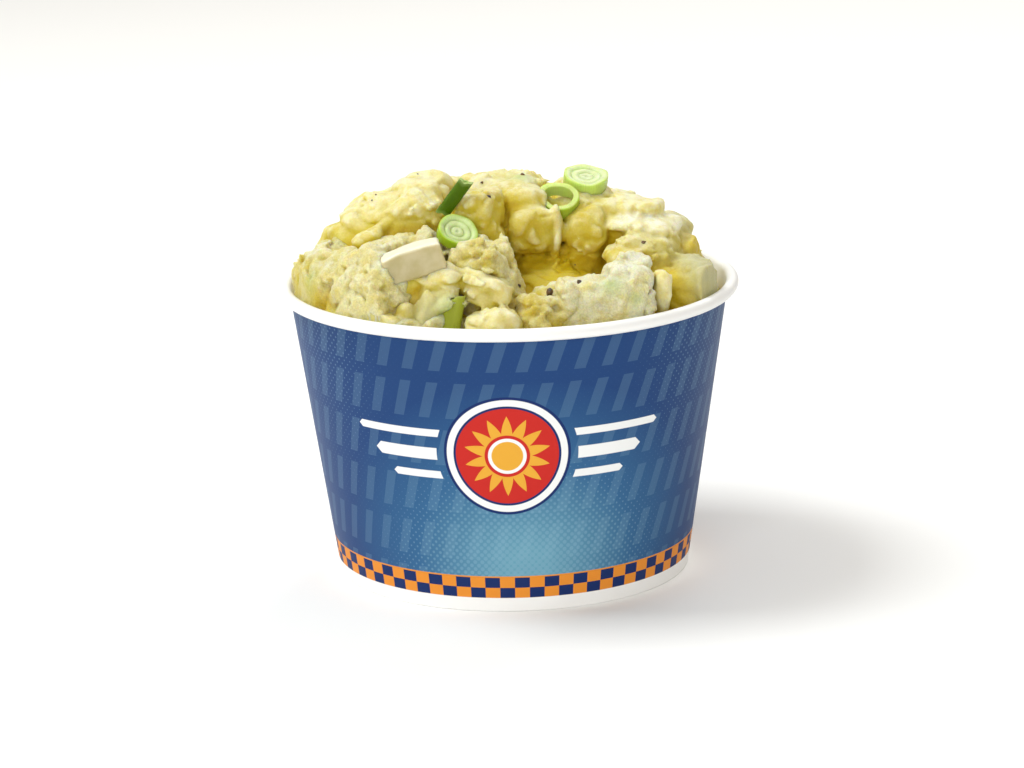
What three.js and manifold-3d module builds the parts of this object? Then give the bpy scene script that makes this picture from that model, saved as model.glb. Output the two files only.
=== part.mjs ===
// A single-wall paper food cup heaped with potato salad, in millimetres, +Z up.
// The origin is the middle of the cup's foot, on the surface that it stands on.
// -Y is the front of the heap, the side with the egg white and the green onion.
import * as THREE from "three";
import { mergeVertices } from "three/addons/utils/BufferGeometryUtils.js";
import Module from "manifold-3d";

const wasm = await Module();
wasm.setup();

// Driving dimensions of the cup.
const CUP_HEIGHT = 63;
const RIM_RADIUS = 49;
const FOOT_RADIUS = 37.6;
const BOARD = 0.5; // paperboard, coated on both sides
const CURL_RADIUS = 1.35; // outer radius of the rolled rim
const BASE_HEIGHT = 6.8; // top of the raised base disc
const HEM_HEIGHT = 5; // the wall's folded lower edge, inside the foot
const SLIP = 0.2; // between the layers of board at the foot
const SEAM_WIDTH = 8; // the overlap of the wall's two ends
const SEAM_STEP = 0.45;
const SEAM_HEADING = 68; // degrees round from +X, at the back right
const CUP_SIDES = 48;

// Driving dimensions of the filling.
const FILL_GAP = 0.3; // between the filling and the board, and round each topping
const MASH_SIDES = 24;
const FINE_LUMP = 10.2; // lumps whose least side is smaller than this have fewer faces
const SLIVER = 0.34; // faces thinner than this, left by joining the pieces, are merged away

const CURL_CENTRE = [RIM_RADIUS - CURL_RADIUS, CUP_HEIGHT - CURL_RADIUS];
const WALL_SLOPE = (CURL_CENTRE[0] - (CURL_RADIUS - BOARD) - FOOT_RADIUS) / CURL_CENTRE[1];
const wallOutside = (z) => FOOT_RADIUS + z * WALL_SLOPE;
const wallInside = (z) => wallOutside(z) - BOARD;

const radians = THREE.MathUtils.degToRad;

// Solids and meshes.
function solidOf(geometry) {
  const bare = geometry.clone();
  bare.deleteAttribute("normal");
  bare.deleteAttribute("uv");
  const merged = mergeVertices(bare, 1e-4);
  return new wasm.Manifold(
    new wasm.Mesh({
      numProp: 3,
      vertProperties: new Float32Array(merged.attributes.position.array),
      triVerts: new Uint32Array(merged.index.array),
    }),
  );
}

function geometryOf(solid) {
  const mesh = solid.getMesh();
  const points = new Float32Array(mesh.numVert * 3);
  for (let i = 0; i < mesh.numVert; i++) {
    const from = i * mesh.numProp;
    points.set(mesh.vertProperties.subarray(from, from + 3), i * 3);
  }
  const geometry = new THREE.BufferGeometry();
  geometry.setAttribute("position", new THREE.BufferAttribute(points, 3));
  geometry.setIndex(new THREE.BufferAttribute(new Uint32Array(mesh.triVerts), 1));
  geometry.computeVertexNormals();
  return geometry;
}

// A profile of [radius, height] pairs, turned round the Z axis.
function turned(profile, sides) {
  const outline = profile.map(([radius, height]) => new THREE.Vector2(radius, height));
  return new THREE.LatheGeometry(outline, sides).rotateX(Math.PI / 2);
}

function largestPiece(solid) {
  const pieces = solid.decompose();
  return pieces.reduce((best, piece) => (piece.volume() > best.volume() ? piece : best));
}

// Points on an arc of the rolled rim, between two headings in degrees.
function curlArc(radius, from, to, steps) {
  return Array.from({ length: steps + 1 }, (_, i) => {
    const heading = radians(from + ((to - from) * i) / steps);
    return [
      CURL_CENTRE[0] + radius * Math.cos(heading),
      CURL_CENTRE[1] + radius * Math.sin(heading),
    ];
  });
}

// The side wall: one blank of board, rolled outwards at the rim and folded in and up at the foot.
function sideWall() {
  const lean = THREE.MathUtils.radToDeg(Math.atan(WALL_SLOPE));
  const curlStart = 180 - lean;
  const curlEnd = -122;
  const hemOutside = (z) => wallInside(z) - BOARD - 2 * SLIP;
  const hemInside = (z) => hemOutside(z) - BOARD;
  const profile = [
    [hemInside(0), 0],
    [wallOutside(0), 0],
    ...curlArc(CURL_RADIUS - BOARD, curlStart, curlEnd, 6),
    ...curlArc(CURL_RADIUS, curlEnd, curlStart, 8),
    [wallInside(BOARD), BOARD],
    [hemOutside(BOARD), BOARD],
    [hemOutside(HEM_HEIGHT), HEM_HEIGHT],
    [hemInside(HEM_HEIGHT), HEM_HEIGHT],
    [hemInside(0), 0],
  ];
  const shell = solidOf(turned(profile, CUP_SIDES));

  // The lap of the blank's ends stands proud of the wall, from the foot to the rolled rim.
  const seamTop = CURL_CENTRE[1] - CURL_RADIUS - 0.2;
  const inFrom = 0.2;
  const lapProfile = [
    [wallOutside(0) - inFrom, 0],
    [wallOutside(0) + SEAM_STEP, 0],
    [wallOutside(seamTop) + SEAM_STEP, seamTop],
    [wallOutside(seamTop) - inFrom, seamTop],
    [wallOutside(0) - inFrom, 0],
  ];
  const lapRing = solidOf(turned(lapProfile, CUP_SIDES));
  const slot = new THREE.BoxGeometry(RIM_RADIUS, SEAM_WIDTH, 3 * CUP_HEIGHT)
    .translate(RIM_RADIUS / 2, 0, 0)
    .rotateZ(radians(SEAM_HEADING));
  return shell.add(lapRing.intersect(solidOf(slot)));
}

// The base: a disc of board whose edge is turned down into the fold of the wall.
function baseDisc() {
  const flangeOutside = (z) => wallInside(z) - SLIP;
  const flangeFoot = BOARD + SLIP;
  const under = BASE_HEIGHT - BOARD;
  return turned(
    [
      [0, under],
      [flangeOutside(under) - BOARD, under],
      [flangeOutside(flangeFoot) - BOARD, flangeFoot],
      [flangeOutside(flangeFoot), flangeFoot],
      [flangeOutside(BASE_HEIGHT), BASE_HEIGHT],
      [0, BASE_HEIGHT],
    ],
    CUP_SIDES,
  );
}

// A lump: a rounded block with a few soft dents, the shape of a cut and dressed potato piece.
// blocky is 2 for an egg shape and more for a cube. It is rolled about Y, tilted about X and turned about Z.
function lumpGeometry({ at, size, blocky = 2.8, roll = 0, tilt = 0, heading = 0, seed, dent = 0.08 }) {
  const detail = Math.min(...size) < FINE_LUMP ? 1 : 2;
  const geometry = new THREE.IcosahedronGeometry(1, detail);
  const place = geometry.attributes.position;
  const d = new THREE.Vector3();
  for (let i = 0; i < place.count; i++) {
    d.fromBufferAttribute(place, i).normalize();
    const { x, y, z } = d;
    const block = (Math.abs(x) ** blocky + Math.abs(y) ** blocky + Math.abs(z) ** blocky) ** (-1 / blocky);
    const dents =
      0.5 * Math.sin(2.3 * x + 3.1 * y + seed) +
      0.3 * Math.sin(4.1 * y - 3.3 * z + 1.7 * seed) +
      0.2 * Math.sin(5.2 * z + 4.7 * x + 2.9 * seed);
    const reach = (block * (1 + dent * dents)) / 2;
    place.setXYZ(i, x * reach * size[0], y * reach * size[1], z * reach * size[2]);
  }
  return geometry
    .rotateY(radians(roll))
    .rotateX(radians(tilt))
    .rotateZ(radians(heading))
    .translate(at[0], at[1], at[2]);
}

// The pieces that show from the front, left to right and from the rim upwards. Each is given by
// the span that it fills across (x), inwards (y) and upwards (z), before it is turned.
const FRONT_LUMPS = [
  // against the rim, left
  { x: [-45, -36], y: [-24, -5], z: [59, 70.5], heading: 20, roll: -14 },
  { x: [-40, -34], y: [-29, -17], z: [58, 68.5], blocky: 2.5, heading: 20 },
  { x: [-35, -21], y: [-38, -20], z: [55, 75], heading: 30, dent: 0.1 },
  { x: [-32, -20], y: [-42, -30], z: [55, 64], heading: 25 },
  { x: [-42, -27], y: [-27, -8], z: [63.5, 74], heading: 25, roll: -18, dent: 0.12 },
  // the slope behind the egg white, rising to the right
  { x: [-34, -15], y: [-27, -9], z: [65, 75.5], tilt: -12, heading: 10, roll: -14, dent: 0.1 },
  { x: [-21, -12], y: [-24, -8], z: [67, 77.5], tilt: -8, roll: -34, dent: 0.1 },
  { x: [-32, -25.5], y: [-19, -9], z: [69, 77.5], blocky: 3.4, roll: -12 },
  // the smooth lump at the upper left, with its crest and its left fold
  { x: [-38, -30.5], y: [-13, 3], z: [68, 75.5], blocky: 2.6, heading: 20, roll: -30 },
  { x: [-31.5, -12], y: [-13.5, 6], z: [72.5, 83], heading: 8, roll: -10, tilt: 8, dent: 0.1 },
  { x: [-24, -12], y: [-7, 7], z: [78, 85.5], heading: -8 },
  { x: [-35, -26], y: [-10, 5], z: [71.5, 80.5], blocky: 2.6, heading: 10, roll: -22 },
  // the middle of the front
  { x: [-12, 1], y: [-32, -16], z: [56, 77], blocky: 3.4, heading: -8 },
  { x: [-6, 3], y: [-34, -18], z: [54, 73], blocky: 3, heading: -20, roll: -14 },
  { x: [-9, -1.5], y: [-33, -24], z: [69.5, 75.5], blocky: 2.3, roll: -12 },
  { x: [-10, 1.5], y: [-37, -27], z: [64.5, 71], blocky: 2.5, roll: 14 },
  { x: [-8.5, 2.5], y: [-44, -32], z: [56, 65.5], blocky: 2.3 },
  { x: [-26, -10.5], y: [-33, -17], z: [63, 73], blocky: 3.2, heading: 16, roll: 4 },
  { x: [-25, -10], y: [-40, -26], z: [55, 65.5], blocky: 2.4, heading: -20, dent: 0.14 },
  { x: [-24, -19], y: [-38, -34], z: [60, 67.5], blocky: 1.8, tilt: 12, heading: 20 },
  { x: [-20.5, -14], y: [-38, -34], z: [58.5, 69], blocky: 1.3, roll: 8, heading: -15 },
  { x: [-16, -8], y: [-38, -33], z: [64.5, 67], blocky: 2.2, roll: -8 },
  // the large piece at the front right, with its low left end
  { x: [8.5, 29.5], y: [-38, -21], z: [54, 69.5], blocky: 4.5, tilt: -4, heading: 8, roll: -2 },
  { x: [19, 29.5], y: [-35, -20], z: [58, 72], blocky: 4, heading: 8 },
  { x: [2.5, 13], y: [-40, -24], z: [51, 67], blocky: 3, heading: -14, roll: -12, dent: 0.06 },
  // against the rim, right
  { x: [34, 43.5], y: [-24, -7], z: [60, 70], blocky: 2.6, heading: 24, dent: 0.06 },
  { x: [35, 38], y: [-23, -15], z: [59, 67.5], blocky: 2.4, heading: 20 },
  { x: [29, 40.5], y: [-24, -10], z: [58, 67.5], blocky: 2.6, heading: 30 },
  { x: [29, 33], y: [-32, -25], z: [61, 70], blocky: 2.3, heading: 20 },
  // the deep hollow: its floor and the rounded pieces at its back
  { x: [0, 19], y: [-22, -2], z: [57, 66.5], blocky: 2.4 },
  { x: [-1, 20], y: [-9, 2], z: [60, 71], blocky: 2.4 },
  { x: [-1, 10.5], y: [-12, 2], z: [69, 80], blocky: 2.7, dent: 0.06 },
  { x: [9, 11.5], y: [-11.5, -3], z: [69.5, 79.5], blocky: 2.3 },
  { x: [11, 20.5], y: [-10, 4], z: [63, 79.5], heading: 6, dent: 0.06 },
  // the top
  { x: [-1.5, 8.5], y: [-7, 5], z: [76, 83], blocky: 2.6, dent: 0.05 },
  { x: [-11, -0.5], y: [-16, -2], z: [72, 84], blocky: 4, heading: -8, dent: 0.06 },
  { x: [-9, 8.5], y: [-1, 14], z: [76, 84.5], blocky: 2.6 },
  { x: [7, 22], y: [-3, 11], z: [72, 80.5], blocky: 2.6, heading: -6 },
  { x: [10, 22.5], y: [1.5, 14], z: [73, 82] },
  // the upper right: a pale ledge over a golden pocket, and the masses below it
  { x: [19, 33.5], y: [-6, 6], z: [74, 80], heading: -14 },
  { x: [20, 37], y: [-10, 2], z: [73.5, 76.5], blocky: 3, tilt: 4, heading: -14, roll: 4 },
  { x: [18, 28], y: [-6, 6], z: [64, 77], heading: -10 },
  { x: [27, 38.5], y: [-6, 10], z: [67, 76], blocky: 2.5, heading: -24, roll: 26, dent: 0.1 },
  { x: [24, 37], y: [-16, 0], z: [64, 74.5], heading: -18, dent: 0.1 },
  { x: [20, 29], y: [-20, -8], z: [66, 72], blocky: 2.5, roll: 6 },
  { x: [35, 40.5], y: [-9, -1], z: [66.5, 72], blocky: 4, heading: -14, dent: 0.04 },
];

const middleOf = ([from, to]) => (from + to) / 2;
const lengthOf = ([from, to]) => to - from;

function frontLumps() {
  return FRONT_LUMPS.map(({ x, y, z, ...shape }, i) => ({
    at: [x, y, z].map(middleOf),
    size: [x, y, z].map(lengthOf),
    seed: i,
    ...shape,
  }));
}

// The back of the heap: rings of like pieces, each a little different in size, height and turn.
const BACK_RINGS = [
  { radius: 34.4, height: 64, size: [20, 17, 15], from: 4, to: 178, count: 7, seed: 40 },
  { radius: 23, height: 70.2, size: [19, 18, 14], from: 40, to: 142, count: 4, seed: 50 },
  { radius: 12.5, height: 75.4, size: [18, 15, 12], from: 70, to: 122, count: 2, seed: 60 },
];

function backLumps() {
  return BACK_RINGS.flatMap(({ radius, height, size, from, to, count, seed }) =>
    Array.from({ length: count }, (_, i) => {
      const heading = from + ((to - from) * i) / (count - 1);
      const sway = Math.sin(seed + 2.4 * i);
      const swell = 1 + 0.1 * Math.cos(seed + 3.7 * i);
      const out = radius + 0.8 * sway;
      return {
        at: [
          out * Math.cos(radians(heading)),
          out * Math.sin(radians(heading)),
          height + 1.2 * Math.cos(seed + 1.9 * i),
        ],
        size: size.map((s) => s * swell),
        heading: heading + 90 + 30 * sway,
        tilt: 12 * sway,
        seed: seed + i,
        blocky: 2.6 + 0.5 * Math.cos(seed + i),
        dent: 0.1,
      };
    }),
  );
}

// The dressed mash that fills the cup and carries the pieces: a low dome, trimmed later to the cup.
function mash() {
  return turned(
    [
      [0, 0],
      [RIM_RADIUS + 9, 0],
      [RIM_RADIUS + 9, 56],
      [43.6, 58],
      [36, 60.5],
      [26, 64.5],
      [14, 67],
      [0, 68],
    ],
    MASH_SIDES,
  );
}

// The cup's hollow above the base, which nothing in the filling may cross.
function hollow() {
  const floor = BASE_HEIGHT + FILL_GAP;
  const lip = CUP_HEIGHT + 30;
  const throat = wallInside(CURL_CENTRE[1]) - FILL_GAP;
  return solidOf(
    turned(
      [
        [0, floor],
        [wallInside(floor) - FILL_GAP, floor],
        [throat, CURL_CENTRE[1]],
        [throat, lip],
        [0, lip],
      ],
      CUP_SIDES,
    ),
  );
}

// Cracked pepper and mustard seed on the dressing: [x, y, across], dropped onto the surface below.
const SPECKS = [
  [-4, -12, 1.3],
  [-7, -19.5, 1.2],
  [8.5, -33, 1.7],
  [14.5, -33, 1.3],
  [2, -26, 1.1],
  [-15, -22, 1.2],
  [28.5, -14, 1.3],
  [3.5, 4, 1.2],
  [-12, 20, 1.3],
  [10, 24, 1.3],
  [26, 20, 1.2],
  [-28, 14, 1.2],
];

function speckOn(surface, [x, y, across]) {
  const from = new THREE.Vector3(x, y, 2 * CUP_HEIGHT);
  const ray = new THREE.Raycaster(from, new THREE.Vector3(0, 0, -1));
  const [hit] = ray.intersectObject(surface);
  const speck = new THREE.IcosahedronGeometry(across / 2, 0).scale(1, 1.2, 0.8);
  return solidOf(speck.translate(x, y, hit.point.z + 0.1 * across));
}

// The toppings that are pieces of their own.
// A chopped piece of egg white: a slab with one gently bowed side and bevelled edges.
function eggWhite({ length, thick, deep, bow }) {
  const outline = new THREE.Shape();
  outline.moveTo(-deep / 2, -thick / 2);
  outline.quadraticCurveTo(0, -thick / 2 + bow, deep / 2, -thick / 2);
  outline.lineTo(deep / 2 - 0.5, thick / 2);
  outline.quadraticCurveTo(0, thick / 2 + bow, -deep / 2 + 0.5, thick / 2);
  outline.closePath();
  const bevel = 0.5;
  return new THREE.ExtrudeGeometry(outline, {
    depth: length - 2 * bevel,
    curveSegments: 5,
    bevelEnabled: true,
    bevelSize: bevel,
    bevelThickness: bevel,
    bevelOffset: -bevel,
    bevelSegments: 1,
  })
    .translate(0, 0, -length / 2 + bevel)
    .rotateY(Math.PI / 2);
}

// A length of green onion leaf: a slightly flattened tube, cut aslant.
function onionLeaf({ radius, bore, length, flat = 0.85, slant = 0.7 }) {
  const half = length / 2;
  const tube = turned(
    [
      [bore, -half],
      [radius, -half],
      [radius, half],
      [bore, half],
      [bore, -half],
    ],
    14,
  );
  const place = tube.attributes.position;
  for (let i = 0; i < place.count; i++) {
    place.setZ(i, place.getZ(i) + (slant * place.getX(i)) / radius);
  }
  return tube.scale(1, flat, 1);
}

// A slice across the pale stem: an outer coat and, inside it, a lower dished core of inner coats.
function onionSlice({ radius, thick, wall, dish, flat = 1 }) {
  const half = thick / 2;
  return turned(
    [
      [0, -half + dish],
      [radius - wall, -half + 0.25 * dish],
      [radius - 0.3, -half],
      [radius, -half + 0.3],
      [radius, half - 0.3],
      [radius - 0.3, half],
      [radius - wall, half - 0.5 * dish],
      [0, half - dish],
    ],
    16,
  ).scale(1, flat, 1);
}

// An open ring of the outer coat alone.
function onionRing({ radius, thick, wall, flat = 1 }) {
  const half = thick / 2;
  const edge = 0.25;
  return turned(
    [
      [radius - wall, -half + edge],
      [radius - wall + edge, -half],
      [radius - edge, -half],
      [radius, -half + edge],
      [radius, half - edge],
      [radius - edge, half],
      [radius - wall + edge, half],
      [radius - wall, half - edge],
      [radius - wall, -half + edge],
    ],
    16,
  ).scale(1, flat, 1);
}

// Each topping is shaped about its own middle, then rolled about Y, tilted about X, turned about Z
// and set down.
const TOPPINGS = [
  {
    name: "egg_white_piece",
    colour: 0xf4efe0,
    shape: eggWhite,
    sizes: { length: 12.6, thick: 5, deep: 5.8, bow: 0.7 },
    roll: -17,
    tilt: 4,
    turn: 4,
    at: [-19.5, -31.5, 73.8],
  },
  {
    name: "onion_leaf_piece",
    colour: 0x3f7a1c,
    shape: onionLeaf,
    sizes: { radius: 1.4, bore: 0.6, length: 8.6, slant: 0.35 },
    roll: 36,
    tilt: 8,
    turn: 0,
    at: [-11, -15, 83.6],
  },
  {
    name: "onion_slice_front",
    colour: 0xb6cc6a,
    shape: onionSlice,
    sizes: { radius: 4.4, thick: 2.6, wall: 1, dish: 0.7, flat: 0.9 },
    roll: 14,
    tilt: 36,
    turn: 0,
    at: [-10.5, -19.4, 77],
  },
  {
    name: "onion_ring_top",
    colour: 0x9cc93c,
    shape: onionRing,
    sizes: { radius: 4.2, thick: 3, wall: 1.1, flat: 0.95 },
    roll: -6,
    tilt: 36,
    turn: 6,
    at: [11, -3.5, 80],
  },
  {
    name: "onion_slice_top",
    colour: 0xbfdc74,
    shape: onionSlice,
    sizes: { radius: 5, thick: 3, wall: 1.1, dish: 0.6, flat: 0.9 },
    roll: 8,
    tilt: 16,
    turn: -8,
    at: [17, 5.5, 82.5],
  },
  {
    name: "onion_leaf_front",
    colour: 0x7f9c22,
    shape: onionLeaf,
    sizes: { radius: 1.9, bore: 0.9, length: 7 },
    roll: 10,
    tilt: -14,
    turn: 0,
    at: [-11.5, -36.5, 63.5],
  },
];

function settled(geometry, { roll, tilt, turn, at }) {
  return geometry
    .rotateY(radians(roll))
    .rotateX(radians(tilt))
    .rotateZ(radians(turn))
    .translate(at[0], at[1], at[2]);
}

// The bed that a topping presses into the filling: the topping itself, FILL_GAP larger all round.
function bedOf(geometry) {
  geometry.computeBoundingBox();
  const middle = geometry.boundingBox.getCenter(new THREE.Vector3());
  const span = geometry.boundingBox.getSize(new THREE.Vector3());
  const hull = solidOf(geometry).hull();
  return hull
    .translate([-middle.x, -middle.y, -middle.z])
    .scale([1 + (2 * FILL_GAP) / span.x, 1 + (2 * FILL_GAP) / span.y, 1 + (2 * FILL_GAP) / span.z])
    .translate([middle.x, middle.y, middle.z]);
}

// The heap: mash and pieces joined, kept inside the cup, with its specks, less the toppings' beds.
function heap(beds) {
  const pieces = [...frontLumps(), ...backLumps()].map((lump) => solidOf(lumpGeometry(lump)));
  const bare = wasm.Manifold.union([solidOf(mash()), ...pieces]).intersect(hollow());
  const surface = new THREE.Mesh(geometryOf(bare));
  const specks = SPECKS.map((speck) => speckOn(surface, speck));
  const dressed = wasm.Manifold.union([bare, ...specks]).simplify(SLIVER);
  const pressed = beds.reduce((left, bed) => left.subtract(bed), dressed);
  return largestPiece(pressed.simplify(FILL_GAP / 3));
}

function part(name, geometry, colour, roughness) {
  const mesh = new THREE.Mesh(
    geometry,
    new THREE.MeshStandardMaterial({ color: colour, roughness, metalness: 0 }),
  );
  mesh.name = name;
  return mesh;
}

const cup = new THREE.Group();
cup.add(part("cup_sidewall", geometryOf(sideWall()), 0x3a6ea5, 0.45));
cup.add(part("cup_base", baseDisc(), 0xf6f4ee, 0.6));

const toppings = TOPPINGS.map((topping) => ({
  ...topping,
  geometry: settled(topping.shape(topping.sizes), topping),
}));
const filling = new THREE.Group();
filling.add(part("potato_salad", geometryOf(heap(toppings.map((t) => bedOf(t.geometry)))), 0xe8dc96, 0.5));
for (const { name, geometry, colour } of toppings) {
  filling.add(part(name, geometry, colour, 0.4));
}

const potatoSalad = new THREE.Group();
potatoSalad.add(cup, filling);
export default potatoSalad;
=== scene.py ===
import functools
import itertools
import math

import bmesh
import bpy
import numpy as np
from mathutils import Matrix, Vector


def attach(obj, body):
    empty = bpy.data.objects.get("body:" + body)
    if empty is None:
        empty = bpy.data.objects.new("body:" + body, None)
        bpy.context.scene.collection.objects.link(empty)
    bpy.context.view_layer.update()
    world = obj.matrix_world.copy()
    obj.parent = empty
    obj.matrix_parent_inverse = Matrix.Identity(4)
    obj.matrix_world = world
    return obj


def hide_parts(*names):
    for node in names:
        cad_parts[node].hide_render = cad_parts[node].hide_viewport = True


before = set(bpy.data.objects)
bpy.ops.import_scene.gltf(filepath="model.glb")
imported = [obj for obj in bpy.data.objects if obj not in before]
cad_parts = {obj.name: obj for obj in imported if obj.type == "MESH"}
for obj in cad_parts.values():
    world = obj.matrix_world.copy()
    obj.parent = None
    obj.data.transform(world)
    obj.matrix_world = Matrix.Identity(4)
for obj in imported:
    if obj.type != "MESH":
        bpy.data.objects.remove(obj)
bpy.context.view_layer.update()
MM = 0.001

# The view: a product shot from a little above the rim, square to the front of the cup,
# through a long lens that leans by about a degree.
VIEW_DISTANCE = 900 * MM
VIEW_ELEVATION = math.radians(14.467)
VIEW_LEAN = math.radians(-1.211)
VIEW_AIM = Vector((0, 0, 39.25 * MM))
view = bpy.data.cameras.new("view")
view.lens = 147.4
view.sensor_width = 36
view.shift_x = 0.0012
view.clip_start = 0.01
viewpoint = bpy.data.objects.new("view", view)
bpy.context.scene.collection.objects.link(viewpoint)
backwards = Vector((0, -math.cos(VIEW_ELEVATION), math.sin(VIEW_ELEVATION)))
viewpoint.matrix_world = (
    Matrix.Translation(VIEW_AIM + VIEW_DISTANCE * backwards)
    @ Matrix.Rotation(math.pi / 2 - VIEW_ELEVATION, 4, "X")
    @ Matrix.Rotation(VIEW_LEAN, 4, "Z")
)
bpy.context.scene.camera = viewpoint


# The table: a plain white sweep that the cup stands on, in soft studio light
# from the upper left, with the daylight of a white room all round.
def link(name, mesh, *materials):
    piece = bpy.data.objects.new(name, mesh)
    bpy.context.scene.collection.objects.link(piece)
    for material in materials:
        piece.data.materials.append(material)
    return piece


def finish_of(name):
    material = bpy.data.materials.new(name)
    material.use_nodes = True
    tree = material.node_tree
    return material, tree, tree.nodes["Principled BSDF"]


def settle(node, values):
    """Constant values for a node's own sockets, by their names."""
    for name, value in values.items():
        node.inputs[name].default_value = value


TABLE_SIDE = 3.0
table_mesh = bpy.data.meshes.new("table")
table_mesh.from_pydata(
    [(x * TABLE_SIDE, y * TABLE_SIDE, 0) for x, y in ((-1, -1), (1, -1), (1, 1), (-1, 1))], [], [(0, 1, 2, 3)]
)
white_table, _, table_shader = finish_of("white_table")
settle(table_shader, {"Base Color": (0.93, 0.925, 0.915, 1), "Roughness": 0.7, "Specular IOR Level": 0.2})
link("table", table_mesh, white_table)

room = bpy.data.worlds.new("white_room")
room.use_nodes = True
settle(room.node_tree.nodes["Background"], {"Color": (1.0, 0.955, 0.87, 1), "Strength": 0.52})
bpy.context.scene.world = room
bpy.context.scene.view_settings.view_transform = "Standard"


LAMPS_AIM = Vector((0, 0, 60 * MM))


def soft_box(name, place, side, power, colour):
    lamp = bpy.data.lights.new(name, "AREA")
    lamp.shape = "SQUARE"
    lamp.size = side
    lamp.energy = power
    lamp.color = colour
    holder = bpy.data.objects.new(name, lamp)
    holder.location = place
    holder.rotation_euler = (LAMPS_AIM - Vector(place)).to_track_quat("-Z", "Y").to_euler()
    bpy.context.scene.collection.objects.link(holder)


soft_box("window_left", (-0.5, 0.05, 0.85), 0.42, 6.2, (0.94, 0.985, 1.0))
soft_box("window_behind", (0.35, 0.7, 0.85), 0.6, 4.0, (1.0, 1.0, 1.0))
soft_box("window_front", (-0.2, -1.15, 0.45), 0.7, 6.0, (0.97, 0.99, 1.0))


# The cup's side wall: one blank of coated board, lapped and glued at the back, rolled
# outwards at the rim and folded in and up at the foot. It is printed outside only, so
# the rolled rim, which shows the board's inner side, stays white.
RIM_RADIUS = 49.0
CUP_HEIGHT = 63.0
FOOT_RADIUS = 37.6
BOARD = 0.5
CURL_RADIUS = 1.35
CURL_CENTRE = (RIM_RADIUS - CURL_RADIUS, CUP_HEIGHT - CURL_RADIUS)
WALL_SLOPE = (CURL_CENTRE[0] - (CURL_RADIUS - BOARD) - FOOT_RADIUS) / CURL_CENTRE[1]
HEM_HEIGHT = 5.0
SLIP = 0.2
SEAM_HEADING = math.radians(68)
SEAM_WIDTH = 8.0
SEAM_STEP = 0.42
SEAM_EDGE = 0.06
SEAM_RUN_OUT = 2.2
FOLD_EDGE = 0.12
PRINT_RADIUS = 42.0  # where a millimetre of print is a millimetre of wall


def wall_outside(z):
    return FOOT_RADIUS + z * WALL_SLOPE


def wall_inside(z):
    return wall_outside(z) - BOARD


def curl_arc(radius, start, end, steps):
    headings = np.radians(np.linspace(start, end, steps + 1))
    return [(CURL_CENTRE[0] + radius * math.cos(a), CURL_CENTRE[1] + radius * math.sin(a)) for a in headings]


def seam_lift(heading, radius):
    """How far the outer board stands off the wall: a step at its cut edge, the lap, and a slow run-out."""
    along = ((heading - SEAM_HEADING + math.pi) % (2 * math.pi) - math.pi) * radius
    cut_edge = np.clip((along + SEAM_WIDTH / 2) / SEAM_EDGE, 0, 1)
    run_out = np.clip(1 - (along - SEAM_WIDTH / 2) / SEAM_RUN_OUT, 0, 1)
    return SEAM_STEP * cut_edge * (run_out * run_out * (3 - 2 * run_out))


def cup_profile():
    lean = math.degrees(math.atan(WALL_SLOPE))
    hem_outside = lambda z: wall_inside(z) - BOARD - 2 * SLIP
    hem_inside = lambda z: hem_outside(z) - BOARD
    wall_levels = np.concatenate(([0, FOLD_EDGE, 0.4], np.linspace(1.2, CURL_CENTRE[1] - 0.4, 22)))
    outer_wall = [(wall_outside(z), z) for z in wall_levels]
    outer_wall[0] = (wall_outside(0) - FOLD_EDGE, 0)
    under_curl = curl_arc(CURL_RADIUS - BOARD, 180 - lean, -122, 18)
    over_curl = curl_arc(CURL_RADIUS, -122, 180 - lean, 30)
    inner_wall = [(wall_inside(z), z) for z in np.linspace(58, BOARD, 8)]
    hem = [
        (hem_outside(BOARD), BOARD),
        (hem_outside(HEM_HEIGHT), HEM_HEIGHT),
        (hem_inside(HEM_HEIGHT), HEM_HEIGHT),
        (hem_inside(FOLD_EDGE), FOLD_EDGE),
        (hem_inside(0) + FOLD_EDGE, 0),
    ]
    return outer_wall + under_curl + over_curl + inner_wall + hem, len(outer_wall)


def turned(name, profile, headings, lift=None, printed_rows=0):
    """A closed profile turned round the cup's axis, in millimetres, with its print coordinates."""
    count, rows = len(headings), len(profile)
    outline = np.array(profile)
    radius, height = (np.repeat(outline[:, side][None, :], count, 0) for side in (0, 1))
    if lift is not None:
        radius[:, :printed_rows] += lift[:, None]
    place = np.stack([radius * np.cos(headings)[:, None], radius * np.sin(headings)[:, None], height], -1)
    faces, uvs = [], []
    for i, j in itertools.product(range(count), range(rows)):
        a, b = (i + 1) % count, (j + 1) % rows
        faces.append((i * rows + j, a * rows + j, a * rows + b, i * rows + b))
        left, right = headings[i], headings[i + 1] if i + 1 < count else headings[0] + 2 * math.pi
        low, high = outline[j, 1], outline[b, 1]
        uvs += [(left, low), (right, low), (right, high), (left, high)]
    mesh = bpy.data.meshes.new(name)
    mesh.from_pydata((place.reshape(-1, 3) * MM).tolist(), [], faces)
    coords = mesh.uv_layers.new(name="print")
    flat = np.array(uvs) * (PRINT_RADIUS, 1.0)
    coords.data.foreach_set("uv", flat.ravel())
    mesh.shade_smooth()
    return mesh


WALL_TURNS = 288
FRONT = -math.pi / 2
seam_edges = SEAM_HEADING + np.array([-SEAM_WIDTH / 2, -SEAM_WIDTH / 2 + SEAM_EDGE]) / PRINT_RADIUS
even = FRONT - math.pi + np.arange(WALL_TURNS) * 2 * math.pi / WALL_TURNS
wall_headings = np.sort(np.concatenate([even, seam_edges - 2 * math.pi * (seam_edges > even[-1])]))
profile, printed_rows = cup_profile()
wall_mesh = turned(
    "cup_wall", profile, wall_headings, seam_lift(wall_headings, PRINT_RADIUS), printed_rows=printed_rows
)


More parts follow.
